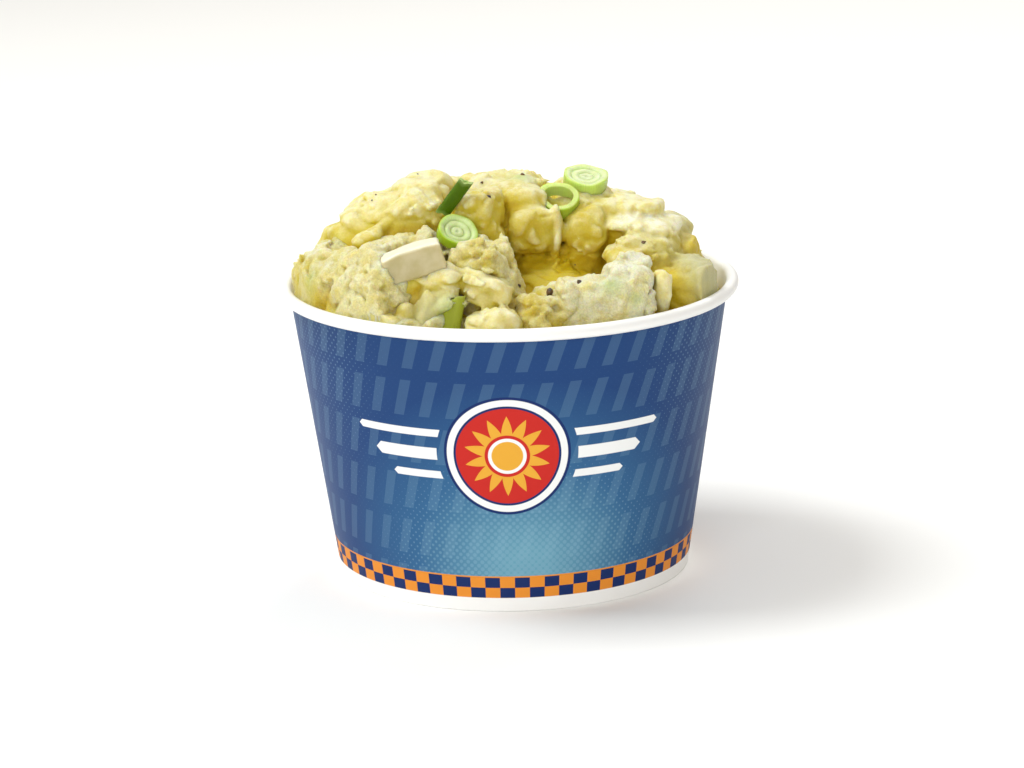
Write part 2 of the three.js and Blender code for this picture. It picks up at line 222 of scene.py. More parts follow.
def arithmetic(tree, operation, *values, clamp=False):
    node = tree.nodes.new("ShaderNodeMath")
    node.operation = operation
    node.use_clamp = clamp
    for socket, value in zip(node.inputs, values):
        if isinstance(value, (int, float)):
            socket.default_value = value
        else:
            tree.links.new(value, socket)
    return node.outputs[0]


def maths(tree):
    """Plus, minus, times, and times and plus in one, on a node tree."""
    names = ("ADD", "SUBTRACT", "MULTIPLY", "MULTIPLY_ADD")
    return [functools.partial(arithmetic, tree, name) for name in names]


def within(tree, value, limit, soft=0.05):
    """1 where the value is below the limit and 0 above it, with an edge this soft, in millimetres."""
    past = arithmetic(tree, "SUBTRACT", value, limit)
    return arithmetic(tree, "MULTIPLY_ADD", past, -0.5 / soft, 0.5, clamp=True)


def length_of(tree, *sides):
    squares = [arithmetic(tree, "POWER", side, 2.0) for side in sides]
    return arithmetic(tree, "SQRT", arithmetic(tree, "ADD", *squares))


def ramp(tree, value, first, middle, last):
    """A colour between three stops, each a place and a colour."""
    node = tree.nodes.new("ShaderNodeValToRGB")
    stops = node.color_ramp.elements
    for stop, (place, colour) in ((stops[0], first), (stops[1], last)):
        stop.position, stop.color = place, colour
    stops.new(middle[0]).color = middle[1]
    tree.links.new(value, node.inputs["Fac"])
    return node.outputs["Color"]


def colour_mix(tree, amount, under, over):
    node = tree.nodes.new("ShaderNodeMix")
    node.data_type = "RGBA"
    for name, value in (("Factor", amount), ("A", under), ("B", over)):
        kind = "VALUE" if name == "Factor" else "RGBA"
        socket = next(s for s in node.inputs if s.name == name and s.type == kind)
        if isinstance(value, (int, float, tuple)):
            socket.default_value = value
        else:
            tree.links.new(value, socket)
    return next(s for s in node.outputs if s.type == "RGBA")


def node_group(name, takes, gives):
    """A shader node group with named sockets, and its two ends."""
    group = bpy.data.node_groups.new(name, "ShaderNodeTree")
    for title in takes:
        group.interface.new_socket(title, in_out="INPUT", socket_type="NodeSocketFloat")
    for title in gives:
        kind = "NodeSocketColor" if title == "Color" else "NodeSocketFloat"
        group.interface.new_socket(title, in_out="OUTPUT", socket_type=kind)
    return group, group.nodes.new("NodeGroupInput"), group.nodes.new("NodeGroupOutput")


def use_group(tree, group, values):
    node = tree.nodes.new("ShaderNodeGroup")
    node.node_tree = group
    settle(node, values)
    return node


def relief(tree, shader, height, strength, depth):
    """Fine relief by bump, over the shape that the mesh has."""
    bump = tree.nodes.new("ShaderNodeBump")
    settle(bump, {"Strength": strength, "Distance": depth})
    tree.links.new(height, bump.inputs["Height"])
    tree.links.new(bump.outputs["Normal"], shader.inputs["Normal"])


def paper_fibre_group():
    """The faint mottle and fibre of coated board: a brightness round 1 and a height for bump."""
    group, inside, outside = node_group("paper_fibre", ["Scale"], ["Brightness", "Height"])
    place = group.nodes.new("ShaderNodeTexCoord")
    fibre = group.nodes.new("ShaderNodeTexNoise")
    settle(fibre, {"Detail": 5, "Distortion": 0.6})
    mottle = group.nodes.new("ShaderNodeTexNoise")
    settle(mottle, {"Detail": 2})
    for node, scale in ((fibre, 1.0), (mottle, 0.12)):
        group.links.new(place.outputs["Object"], node.inputs["Vector"])
        group.links.new(arithmetic(group, "MULTIPLY", inside.outputs["Scale"], scale), node.inputs["Scale"])
    brightness = arithmetic(group, "MULTIPLY_ADD", mottle.outputs["Fac"], 0.05, 0.975)
    group.links.new(brightness, outside.inputs["Brightness"])
    group.links.new(fibre.outputs["Fac"], outside.inputs["Height"])
    return group


paper_fibre = paper_fibre_group()
BARE_BOARD = (0.9, 0.895, 0.88, 1)


def add_fibre(tree, shader, depth):
    fibre = use_group(tree, paper_fibre, {"Scale": 900.0})
    relief(tree, shader, fibre.outputs["Height"], 0.5, depth)
    return fibre.outputs["Brightness"]


def tinted(tree, colour, brightness):
    shade = tree.nodes.new("ShaderNodeVectorMath")
    shade.operation = "SCALE"
    if isinstance(colour, tuple):
        shade.inputs[0].default_value = colour[:3]
    else:
        tree.links.new(colour, shade.inputs[0])
    tree.links.new(brightness, shade.inputs["Scale"])
    return shade.outputs[0]


def bare_board_finish():
    material, tree, shader = finish_of("bare_board")
    brightness = add_fibre(tree, shader, 0.03 * MM)
    tree.links.new(tinted(tree, BARE_BOARD, brightness), shader.inputs["Base Color"])
    settle(shader, {"Roughness": 0.42, "Subsurface Weight": 0.25})
    settle(shader, {"Subsurface Radius": (1, 0.95, 0.85), "Subsurface Scale": 0.5 * MM})
    return material


# The print, from the foot up: a bare margin, two rows of checks with a fine line over
# them, then a blue field that fades to a light pool at the bottom of the front, with
# halftone dots, rows of faint leaning bars, and a round badge with stripes beside it.
MARGIN = 3.1
CHECK_HEIGHT = 2.3
CHECKS_ROUND = 78
LINE = 0.3
FIELD_FOOT = MARGIN + 2 * CHECK_HEIGHT
DOT_PITCH = 1.13
POOL = (3.0, 10.0)
POOL_REACH = 46
DOTS_REACH = 25
SIDE_DOTS = 24.0  # how far from the middle the dots at the sides begin
BAR_ROW = 10.4
BAR_PITCH = 5.6
BAR_SHIFT = 2.7  # from one row to the next
BAR_WIDTH = 2.3
BAR_LENGTH = 7.8
NAVY = (0.006, 0.024, 0.125, 1)
ORANGE = (0.78, 0.27, 0.03, 1)
FIELD_DEEP = (0.012, 0.052, 0.178, 1)
FIELD_MID = (0.034, 0.125, 0.27, 1)
FIELD_LIGHT = (0.13, 0.33, 0.44, 1)
PALE_INK = (0.24, 0.43, 0.56, 1)
WHITE_INK = (0.86, 0.87, 0.87, 1)
RED_INK = (0.56, 0.022, 0.016, 1)
GOLD_INK = (0.78, 0.39, 0.04, 1)
BADGE = (-1.0, 35.0)
BADGE_RADIUS = 13.0
STRIPES = ((4.6, 17.0, 0.8), (0.0, 13.0, 1.3), (-4.6, 9.0, 0.8))  # rise, length, half thickness
SUN_RAYS = 14
RAY_TIP = 8.8
RAY_ROOT = 5.0


def cup_print_finish():
    material, tree, shader = finish_of("cup_print")
    plus, minus, times, times_plus = maths(tree)
    of = functools.partial(arithmetic, tree)
    coords = tree.nodes.new("ShaderNodeUVMap")
    coords.uv_map = "print"
    split = tree.nodes.new("ShaderNodeSeparateXYZ")
    tree.links.new(coords.outputs["UV"], split.inputs[0])
    across = minus(split.outputs["X"], FRONT * PRINT_RADIUS)
    up = split.outputs["Y"]

    def reach(centre, stretch=1.0):
        """Distance from a point of the print."""
        return length_of(tree, times_plus(across, stretch, -centre[0] * stretch), minus(up, centre[1]))

    # the blue field and its light pool
    pool = times_plus(reach(POOL, 0.9), -1 / POOL_REACH, 1.0, clamp=True)
    field = ramp(tree, pool, (0.1, FIELD_DEEP), (0.5, FIELD_MID), (0.92, FIELD_LIGHT))

    # halftone dots on a grid at 45 degrees: light, and largest round the pool and at the sides
    diagonal = 1 / (DOT_PITCH * math.sqrt(2))
    slants = [times(of(name, across, up), diagonal) for name in ("ADD", "SUBTRACT")]
    dot_reach = length_of(tree, *(minus(of("FRACT", slant), 0.5) for slant in slants))
    near_pool = times_plus(reach(POOL, 0.72), -1 / DOTS_REACH, 1.12, clamp=True)
    at_sides = times(minus(of("ABSOLUTE", across), SIDE_DOTS), 1 / 14, clamp=True)
    towards_rim = times_plus(up, 1 / 40, -0.35, clamp=True)
    at_sides = times(times(at_sides, towards_rim), 0.35)
    dot_size = times(of("MAXIMUM", near_pool, at_sides), 0.5)
    field = colour_mix(tree, times(within(tree, dot_reach, dot_size, 0.07), 0.3), field, PALE_INK)

    # faint leaning bars in rows
    row = times(minus(up, 10.5), 1 / BAR_ROW)
    row_place = times(minus(of("FRACT", row), 0.5), BAR_ROW)
    lean = times_plus(row_place, -0.3, across)
    leaning = plus(lean, times(of("FLOOR", row), BAR_SHIFT))
    bar = of("FRACT", times(leaning, 1 / BAR_PITCH))
    bar_side = times(of("ABSOLUTE", minus(bar, 0.5)), BAR_PITCH)
    bar_end = of("ABSOLUTE", row_place)
    bars = times(within(tree, bar_side, BAR_WIDTH / 2), within(tree, bar_end, BAR_LENGTH / 2))
    field = colour_mix(tree, times(bars, 0.12), field, PALE_INK)

    # stripes beside the badge, each shorter than the one above it
    beside = of("ABSOLUTE", minus(across, BADGE[0]))
    stripes = None
    for height, length, thick in STRIPES:
        level = of("ABSOLUTE", minus(up, BADGE[1] + height))
        tip = within(tree, plus(beside, level), BADGE_RADIUS + 3 + length)
        one = times(within(tree, level, thick), tip)
        stripes = one if stripes is None else of("MAXIMUM", stripes, one)
    clear = within(tree, BADGE_RADIUS + 1.6, reach(BADGE))
    field = colour_mix(tree, times(stripes, clear), field, WHITE_INK)

    # the badge: white, with a navy ring, a red ground and a golden sun
    centre_reach = reach(BADGE)
    for inset, ink in ((0.0, NAVY), (0.6, WHITE_INK), (2.0, NAVY), (2.5, RED_INK)):
        field = colour_mix(tree, within(tree, centre_reach, BADGE_RADIUS - inset), field, ink)
    turn = of("ARCTAN2", minus(up, BADGE[1]), minus(across, BADGE[0]))
    ray = of("ABSOLUTE", minus(of("FRACT", times(turn, SUN_RAYS / (2 * math.pi))), 0.5))
    ray_tip = times_plus(ray, 2 * (RAY_ROOT - RAY_TIP), RAY_TIP)
    field = colour_mix(tree, within(tree, centre_reach, ray_tip), field, GOLD_INK)
    for radius, ink in ((4.6, RED_INK), (3.9, WHITE_INK), (3.2, GOLD_INK)):
        field = colour_mix(tree, within(tree, centre_reach, radius), field, ink)

    # the checks
    column = times(across, CHECKS_ROUND / (2 * math.pi * PRINT_RADIUS))
    tier = times(minus(up, MARGIN), 1 / CHECK_HEIGHT)
    odd = of("FLOORED_MODULO", plus(of("FLOOR", column), of("FLOOR", tier)), 2.0)
    checks = colour_mix(tree, odd, ORANGE, NAVY)
    printed = colour_mix(tree, within(tree, FIELD_FOOT, up), checks, ORANGE)
    printed = colour_mix(tree, within(tree, FIELD_FOOT + LINE, up), printed, field)
    printed = colour_mix(tree, within(tree, up, MARGIN), printed, BARE_BOARD)

    brightness = add_fibre(tree, shader, 0.02 * MM)
    tree.links.new(tinted(tree, printed, brightness), shader.inputs["Base Color"])
    settle(shader, {"Roughness": 0.5, "Specular IOR Level": 0.16})
    return material


bare_board = bare_board_finish()
cup_wall = link("cup_wall", wall_mesh, bare_board, cup_print_finish())
rows = len(profile)
for number, face in enumerate(wall_mesh.polygons):
    face.material_index = 1 if number % rows < printed_rows - 1 and number % rows > 0 else 0
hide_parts("cup_sidewall")
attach(cup_wall, "root")


# The base: a disc of the same board, with its edge turned down and held in the fold of
# the wall, so that it stands clear of the table.
BASE_HEIGHT = 6.8
BASE_TURNS = 144


def base_profile():
    flange = lambda z: wall_inside(z) - SLIP
    foot, under = BOARD + SLIP, BASE_HEIGHT - BOARD
    return [
        (0.001, under),
        (flange(under) - BOARD - 0.5, under),
        (flange(under) - BOARD, under - 0.5),
        (flange(foot) - BOARD, foot),
        (flange(foot), foot),
        (flange(BASE_HEIGHT) - 0.1, BASE_HEIGHT - 0.6),
        (flange(BASE_HEIGHT) - 0.7, BASE_HEIGHT),
        (0.001, BASE_HEIGHT),
    ]


base_headings = np.arange(BASE_TURNS) * 2 * math.pi / BASE_TURNS
cup_floor = link("cup_floor", turned("cup_floor", base_profile(), base_headings), bare_board)
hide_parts("cup_base")
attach(cup_floor, "root")


# The salad: cut, boiled potato in a creamy dressing, heaped above the rim. Two kinds of
# piece are shaped as solid fields on one fine grid and skinned: those that the dressing
# coats, smooth and run together, down to the cup's base; and the broken, mealy ones.
GRID_STEP = 0.42
MOST_TRIANGLES = 190000  # in one piece of the heap
GRID_LOW = np.array([-47.0, -47.0, 56.2], dtype=np.float32)
GRID_HIGH = np.array([47.0, 47.0, 90.0], dtype=np.float32)
HEAP_FOOT = 57.0  # below this the filling only follows the cup
grid_axes = [np.arange(GRID_LOW[i], GRID_HIGH[i], GRID_STEP, dtype=np.float32) for i in range(3)]
grid_shape = tuple(len(axis) for axis in grid_axes)

# Each lump is given by the span that it fills across (x), inwards (y) and upwards (z), before
# it is rolled about Y, tilted about X and turned about Z. blocky is 2 for an egg and more for
# a cube. rough is 1 for broken, mealy potato and 0 for a smooth dressed face; gold is 1 for a
# bare yellow face, 0 for a coated one and -1 for thick white dressing, and gold above 1 is also
# painted shade in places, such as the hollow's floor and the pocket under the ledge; clear is 1
# where it is grey and translucent.
FRONT_LUMPS = [
    # against the rim, left
    dict(x=(-45, -36), y=(-24, -5), z=(59, 70.5), heading=20, roll=-14, rough=0.9, gold=1),
    dict(x=(-40, -34), y=(-29, -17), z=(58, 68.5), blocky=2.5, heading=20, rough=0.6, gold=1.5, melt=2),
    dict(x=(-35, -21), y=(-38, -20), z=(55, 75), heading=30, dent=0.1, rough=1, gold=0.0),
    dict(x=(-32, -20), y=(-42, -30), z=(55, 64), heading=25, rough=0.3, gold=0.4, melt=2),
    dict(x=(-42, -27), y=(-27, -8), z=(63.5, 74), heading=25, roll=-18, dent=0.12, rough=1, gold=0.4),
    # the slope behind the egg white, rising to the right
    dict(x=(-34, -15), y=(-27, -9), z=(65, 75.5),
         tilt=-12, heading=10, roll=-14, dent=0.1, rough=0.9, gold=-0.2),
    dict(x=(-21, -12), y=(-24, -8), z=(67, 77.5), tilt=-8, roll=-34, dent=0.1, rough=0.9, gold=0.1),
    dict(x=(-32, -25.5), y=(-19, -9), z=(69, 77.5), blocky=3.4, roll=-12, rough=0.1, gold=0.7, melt=1),
    # the smooth lump at the upper left, with its crest and its left fold
    dict(x=(-38, -30.5), y=(-13, 3), z=(68, 75.5),
         blocky=2.6, heading=20, roll=-30, rough=0.3, gold=1.1, melt=1.5),
    dict(x=(-31.5, -12), y=(-13.5, 6), z=(72.5, 83),
         heading=8, roll=-10, tilt=8, dent=0.1, rough=0.25, gold=0.35, melt=2.5),
    dict(x=(-24, -12), y=(-7, 7), z=(78, 85.5), heading=-8, rough=0.3, gold=-0.1, melt=3),
    dict(x=(-35, -26), y=(-10, 5), z=(71.5, 80.5),
         blocky=2.6, heading=10, roll=-22, rough=0.3, gold=0, melt=2),
    # the middle of the front
    dict(x=(-12, 1), y=(-32, -16), z=(56, 77), blocky=3.4, heading=-8, rough=1, gold=0),
    dict(x=(-6, 3), y=(-34, -18), z=(54, 73), blocky=3, heading=-20, roll=-14, rough=1, gold=-0.4),
    dict(x=(-9, -1.5), y=(-33, -24), z=(69.5, 75.5), blocky=2.3, roll=-12, rough=0.7, gold=1.1, melt=2),
    dict(x=(-10, 1.5), y=(-37, -27), z=(64.5, 71), blocky=2.5, roll=14, rough=0.35, gold=-0.2),
    dict(x=(-8.5, 2.5), y=(-44, -32), z=(56, 65.5), blocky=2.3, rough=0.15, gold=-0.2, melt=1.5),
    dict(x=(-26, -10.5), y=(-33, -17), z=(63, 73), blocky=3.2, heading=16, roll=4, rough=0.1, gold=1.1),
    dict(x=(-25, -10), y=(-40, -26), z=(55, 65.5), blocky=2.4, heading=-20, dent=0.14, rough=0.9, gold=0.4),
    dict(x=(-24, -19), y=(-38, -34), z=(60, 67.5),
         blocky=1.8, tilt=12, heading=20, rough=0.4, gold=0.9, clear=0.4),
    dict(x=(-20.5, -14), y=(-38, -34), z=(58.5, 69),
         blocky=1.3, roll=8, heading=-15, rough=0.4, gold=0, clear=0.8),
    dict(x=(-16, -8), y=(-38, -33), z=(64.5, 67), blocky=2.2, roll=-8, rough=0.3, gold=0, clear=0.6, melt=1),
    # the large piece at the front right, with its low left end, whose deeper gold is painted shade
    dict(x=(8.5, 29.5), y=(-38, -21), z=(54, 69.5),
         blocky=4.5, tilt=-4, heading=8, roll=-2, rough=0.8, gold=-0.5),
    dict(x=(19, 29.5), y=(-35, -20), z=(58, 72), blocky=4, heading=8, rough=0.8, gold=-0.8),
    dict(x=(2.5, 13), y=(-40, -24), z=(51, 67),
         blocky=3, heading=-14, roll=-12, dent=0.06, rough=0.7, gold=1.2, melt=2),
    # against the rim, right
    dict(x=(34, 43.5), y=(-24, -7), z=(60, 70),
         blocky=2.6, heading=24, dent=0.06, rough=0.1, gold=0.8, clear=1, melt=2),
    dict(x=(35, 38), y=(-23, -15), z=(59, 67.5),
         blocky=2.4, heading=20, rough=0.1, gold=0.2, clear=0.4, melt=1.5),
    dict(x=(29, 40.5), y=(-24, -10), z=(58, 67.5), blocky=2.6, heading=30, rough=0.3, gold=1.9, melt=2),
    dict(x=(29, 33), y=(-32, -25), z=(61, 70), blocky=2.3, heading=20, rough=0.2, gold=-0.3, melt=1.2),
    # the deep hollow: its floor, whose deep gold is painted shade, and the rounded pieces at its back
    dict(x=(0, 19), y=(-22, -2), z=(57, 66.5), blocky=2.4, rough=0.2, gold=1.8, melt=2),
    dict(x=(-1, 20), y=(-9, 2), z=(60, 71), blocky=2.4, rough=0.2, gold=2, melt=3),
    dict(x=(-1, 10.5), y=(-12, 2), z=(69, 80), blocky=2.7, dent=0.06, rough=0.25, gold=1.1, melt=1.5),
    dict(x=(9, 11.5), y=(-11.5, -3), z=(69.5, 79.5), blocky=2.3, rough=0, gold=-0.3, melt=2.5),
    dict(x=(11, 20.5), y=(-10, 4), z=(63, 79.5), heading=6, dent=0.06, rough=0.3, gold=1.2, melt=2),
    # the top
    dict(x=(-1.5, 8.5), y=(-7, 5), z=(76, 83), blocky=2.6, dent=0.05, rough=0.1, gold=0.8, melt=1.5),
    dict(x=(-11, -0.5), y=(-16, -2), z=(72, 84),
         blocky=4, heading=-8, dent=0.06, rough=0.2, gold=0.9, melt=1.2),
    dict(x=(-9, 8.5), y=(-1, 14), z=(76, 84.5), blocky=2.6, rough=0.3, gold=0.4, melt=2.5),
    dict(x=(7, 22), y=(-3, 11), z=(72, 80.5), blocky=2.6, heading=-6, rough=0.1, gold=0.7, melt=2.5),
    dict(x=(10, 22.5), y=(1.5, 14), z=(73, 82), rough=0.2, gold=0.4, melt=2),
    # the upper right: a pale ledge over a pocket painted golden as shade, and the masses below it
    dict(x=(19, 33.5), y=(-6, 6), z=(74, 80), heading=-14, rough=0.3, gold=0.2, melt=1),
    dict(x=(20, 37), y=(-10, 2), z=(73.5, 76.5),
         blocky=3, tilt=4, heading=-14, roll=4, rough=0.3, gold=-1.8, melt=0.8),
    dict(x=(18, 28), y=(-6, 6), z=(64, 77), heading=-10, rough=0.1, gold=1.8, melt=1.5),
    dict(x=(27, 38.5), y=(-6, 10), z=(67, 76),
         blocky=2.5, heading=-24, roll=26, dent=0.1, rough=0.2, gold=0.3, clear=0.6, melt=2),
    dict(x=(24, 37), y=(-16, 0), z=(64, 74.5), heading=-18, dent=0.1, rough=0.1, gold=1, clear=0.3, melt=2),
    dict(x=(20, 29), y=(-20, -8), z=(66, 72), blocky=2.5, roll=6, rough=0.15, gold=1, melt=1.5),
    dict(x=(35, 40.5), y=(-9, -1), z=(66.5, 72),
         blocky=4, heading=-14, dent=0.04, rough=0.1, gold=1.6, melt=0.8),
    # beside the egg white
    dict(x=(-18.5, -10.5), y=(-36, -27), z=(65.5, 72.3), heading=16, roll=-10, rough=0.2, gold=0.1, melt=2),
]
BACK_RINGS = [
    dict(radius=34.4, height=64, size=(20, 17, 15), span=(4, 178), count=7, seed=40),
    dict(radius=23, height=70.2, size=(19, 18, 14), span=(40, 142), count=4, seed=50),
    dict(radius=12.5, height=75.4, size=(18, 15, 12), span=(70, 122), count=2, seed=60),
]

# Where the toppings press in: their middles and turns, and half their sizes.
BEDS = dict(
    egg_white=dict(at=(-19.5, -31.5, 73.8), roll=-17, tilt=4, heading=4, half=(6.3, 2.5, 2.9)),
    stalk=dict(at=(-11, -15, 83.6), roll=36, tilt=8, heading=0, half=(1.4, 1.2, 4.3)),
    front_slice=dict(at=(-10.5, -19.4, 77), roll=14, tilt=36, heading=0, half=(4.4, 4.0, 1.3)),
    top_ring=dict(at=(11, -3.5, 80), roll=-6, tilt=36, heading=6, half=(4.2, 4.0, 1.5)),
    top_slice=dict(at=(17, 5.5, 82.5), roll=8, tilt=16, heading=-8, half=(5.0, 4.5, 1.5)),
    front_leaf=dict(at=(-11.5, -36.5, 63.5), roll=10, tilt=-14, heading=0, half=(1.9, 1.6, 3.5)),
)


def front_lumps():
    for number, lump in enumerate(FRONT_LUMPS):
        spans = np.array([lump["x"], lump["y"], lump["z"]], dtype=float)
        yield dict(at=spans.mean(axis=1), size=spans[:, 1] - spans[:, 0], seed=number, **lump)


def back_lumps():
    for ring in BACK_RINGS:
        for i in range(ring["count"]):
            seed = ring["seed"]
            heading = ring["span"][0] + (ring["span"][1] - ring["span"][0]) * i / (ring["count"] - 1)
            sway = math.sin(seed + 2.4 * i)
            swell = 1 + 0.1 * math.cos(seed + 3.7 * i)
            out = ring["radius"] + 0.8 * sway
            yield dict(
                at=(
                    out * math.cos(math.radians(heading)),
                    out * math.sin(math.radians(heading)),
                    ring["height"] + 1.2 * math.cos(seed + 1.9 * i),
                ),
                size=tuple(side * swell for side in ring["size"]),
                heading=heading + 90 + 30 * sway,
                tilt=12 * sway,
                seed=seed + i,
                blocky=2.6 + 0.5 * math.cos(seed + i),
                dent=0.1,
                rough=0.5 + 0.5 * math.sin(3.1 * seed + 2.2 * i),
                gold=0.35 + 0.35 * math.cos(1.3 * seed + 4.1 * i),
            )


def along_axes(low, high):
    """The part of the grid between two corners, as index slices and three broadcast coordinates."""
    corners = zip(grid_axes, low, high)
    slices = tuple(slice(*(int(np.searchsorted(axis, end)) for end in (a, b))) for axis, a, b in corners)
    x, y, z = (axis[part] for axis, part in zip(grid_axes, slices))
    return slices, x[:, None, None], y[None, :, None], z[None, None, :]


def own_frame(piece, x, y, z):
    """Coordinates in a piece's own frame, from before it was rolled, tilted and turned."""
    roll, tilt, heading = (math.radians(piece.get(name, 0)) for name in ("roll", "tilt", "heading"))
    dx, dy, dz = x - piece["at"][0], y - piece["at"][1], z - piece["at"][2]
    across = dx * math.cos(heading) + dy * math.sin(heading)
    inwards = dy * math.cos(heading) - dx * math.sin(heading)
    up = dz * math.cos(tilt) - inwards * math.sin(tilt)
    return (
        across * math.cos(roll) - up * math.sin(roll),
        inwards * math.cos(tilt) + dz * math.sin(tilt) + 0 * dx,
        across * math.sin(roll) + up * math.cos(roll),
    )


def lump_distance(lump, x, y, z):
    """Distance from a rounded block with soft dents, along the line from its middle, in millimetres."""
    local = own_frame(lump, x, y, z)
    u, v, w = (2 * part / side for part, side in zip(local, lump["size"]))
    far = np.sqrt(u * u + v * v + w * w) + 1e-6
    u, v, w = u / far, v / far, w / far
    power, seed = lump.get("blocky", 2.8), lump["seed"]
    block = (np.abs(u) ** power + np.abs(v) ** power + np.abs(w) ** power + 1e-9) ** (-1 / power)
    dents = (
        0.5 * np.sin(2.3 * u + 3.1 * v + seed)
        + 0.3 * np.sin(4.1 * v - 3.3 * w + 1.7 * seed)
        + 0.2 * np.sin(5.2 * w + 4.7 * u + 2.9 * seed)
    )
    reach = block * (1 + lump.get("dent", 0.08) * dents)
    length = np.sqrt(local[0] ** 2 + local[1] ** 2 + local[2] ** 2)
    return length * (1 - reach / far)


def grid_noise(size, seed):
    """Smooth random values between -1 and 1 over the whole grid, changing over about one size."""
    rng = np.random.default_rng(seed)
    counts = [int((high - low) / size) + 3 for low, high in zip(GRID_LOW, GRID_HIGH)]
    values = rng.uniform(-1, 1, counts).astype(np.float32)
    for axis, (line, low) in enumerate(zip(grid_axes, GRID_LOW)):
        cells = (line - low) / size
        base = np.floor(cells).astype(int)
        part = cells - base
        part = (part * part * (3 - 2 * part)).reshape([-1, 1, 1])
        values = np.moveaxis(values, axis, 0)
        values = np.moveaxis(values[base] * (1 - part) + values[base + 1] * part, 0, axis)
    return values


MASH_REACH = (0, 14, 26, 36, 43.6, 60)
MASH_HEIGHT = (68, 67, 64.5, 60.5, 58, 56)


def mash_field():
    """The dome of dressed mash under the pieces."""
    _, x, y, z = along_axes(GRID_LOW - 1, GRID_HIGH + 1)
    out = np.sqrt(x * x + y * y)
    dome = np.interp(out, MASH_REACH, MASH_HEIGHT).astype(np.float32)
    return ((z - dome) * 0.9).astype(np.float32)


def lattice_noise(points, size, seed):
    """Smooth random values between -1 and 1 that change over about one size, in millimetres."""
    rng = np.random.default_rng(seed)
    table = rng.uniform(-1, 1, (32, 32, 32)).astype(np.float32)
    turn, _ = np.linalg.qr(rng.normal(size=(3, 3)))
    cells = points @ turn.astype(np.float32) / size + 7.3 * seed
    base = np.floor(cells).astype(np.int64)
    part = cells - base
    part = part * part * (3 - 2 * part)
    total = 0
    for corner in itertools.product((0, 1), repeat=3):
        index = (base + corner) % 32
        weight = 1
        for axis in range(3):
            weight = weight * (part[:, axis] if corner[axis] else 1 - part[:, axis])
        total = total + weight * table[index[:, 0], index[:, 1], index[:, 2]]
    return total


def cracks(points, size, seed):
    """Distance from the nearest grain's middle, in grain sizes: it peaks at the creases between grains."""
    rng = np.random.default_rng(seed)
    table = rng.random((24, 24, 24, 3), dtype=np.float32)
    cells = (points / size).astype(np.float32)
    base = np.floor(cells).astype(np.int32)
    nearest = np.full(len(points), 9, dtype=np.float32)
    for offset in itertools.product((-1, 0, 1), repeat=3):
        around = base + np.array(offset, dtype=np.int32)
        i, j, k = (around % 24).T
        gap = around + table[i, j, k] - cells
        nearest = np.minimum(nearest, (gap * gap).sum(axis=1))
    return np.sqrt(nearest)


def blend_in(grids, part, near, melt, **traits):
    """Adds a solid to the field with a soft join, and its traits where it is the nearer one."""
    field = grids["field"][part]
    share = np.clip(0.5 + 0.5 * (field - near) / melt, 0, 1)
    grids["field"][part] = field * (1 - share) + near * share - melt * share * (1 - share)
    for name, value in traits.items():
        grids[name][part] = grids[name][part] * (1 - share) + value * share


def averaged(grid, reach):
    """A grid with each value replaced by the mean around it, within a reach in millimetres."""
    cells = max(1, round(reach / GRID_STEP / 1.5))
    for _, axis in itertools.product(range(2), range(3)):
        padding = [(cells + 1, cells) if i == axis else (0, 0) for i in range(3)]
        run = np.cumsum(np.pad(grid, padding, mode="edge"), axis=axis, dtype=np.float64)
        high = np.take(run, np.arange(2 * cells + 1, run.shape[axis]), axis=axis)
        low = np.take(run, np.arange(0, run.shape[axis] - 2 * cells - 1), axis=axis)
        grid = ((high - low) / (2 * cells + 1)).astype(np.float32)
    return grid


TRAIT_SPREAD = 1.8  # over which gold and clear pass into each other between pieces


def body_of(lumps, base_field, melt):
    """One kind of piece as a distance field, with how golden and clear it is at each place."""
    grids = dict(field=base_field)
    for trait, value in (("gold", 1.2), ("clear", 0), ("rough", 0.3)):
        grids[trait] = np.full(grid_shape, value, dtype=np.float32)
    for lump in lumps:
        room = np.linalg.norm(lump["size"]) / 2 + 4
        part, x, y, z = along_axes(np.array(lump["at"]) - room, np.array(lump["at"]) + room)
        near = lump_distance(lump, x + bend[0][part], y + bend[1][part], z + bend[2][part])
        traits = dict(gold=lump["gold"], clear=lump.get("clear", 0), rough=lump["rough"])
        blend_in(grids, part, near, lump.get("melt", melt), **traits)
    for trait in ("gold", "clear"):
        grids[trait] = averaged(grids[trait], TRAIT_SPREAD)
    return grids


def near_skin(field, reach):
    """The grid cells within a reach of the skin, and their points, bent a little off straight lines."""
    band = np.nonzero(np.abs(field) < reach)
    points = np.stack([axis[index] for axis, index in zip(grid_axes, band)], -1)
    return band, points + 1.1 * np.stack([lattice_noise(points, 5.0, 100 + i) for i in range(3)], -1)


def folded(grids):
    """Soft folds and ripples of dressing."""
    band, points = near_skin(grids["field"], 2.6)
    folds = 0.5 * lattice_noise(points, 6.5, 1) + 0.5 * lattice_noise(points, 3.2, 2)
    ripple = 0.3 * lattice_noise(points, 1.8, 7) + 0.13 * lattice_noise(points, 1.0, 8)
    creases = 0.55 * np.exp(-((lattice_noise(points * (1, 1, 1.5), 4.6, 9) / 0.16) ** 2))
    grids["field"][band] += (folds + ripple + creases) * np.clip(0.4 + 2.4 * grids["rough"][band], 0, 1)
    littered = np.clip(0.2 + 2.2 * lattice_noise(points, 7.0, 31), 0, 1)
    for size, seed in ((2.6, 32), (1.5, 33)):
        crumbs = np.clip(1 - cracks(points, size, seed) / 0.42, 0, 1)
        grids["field"][band] -= 0.36 * size * littered * crumbs


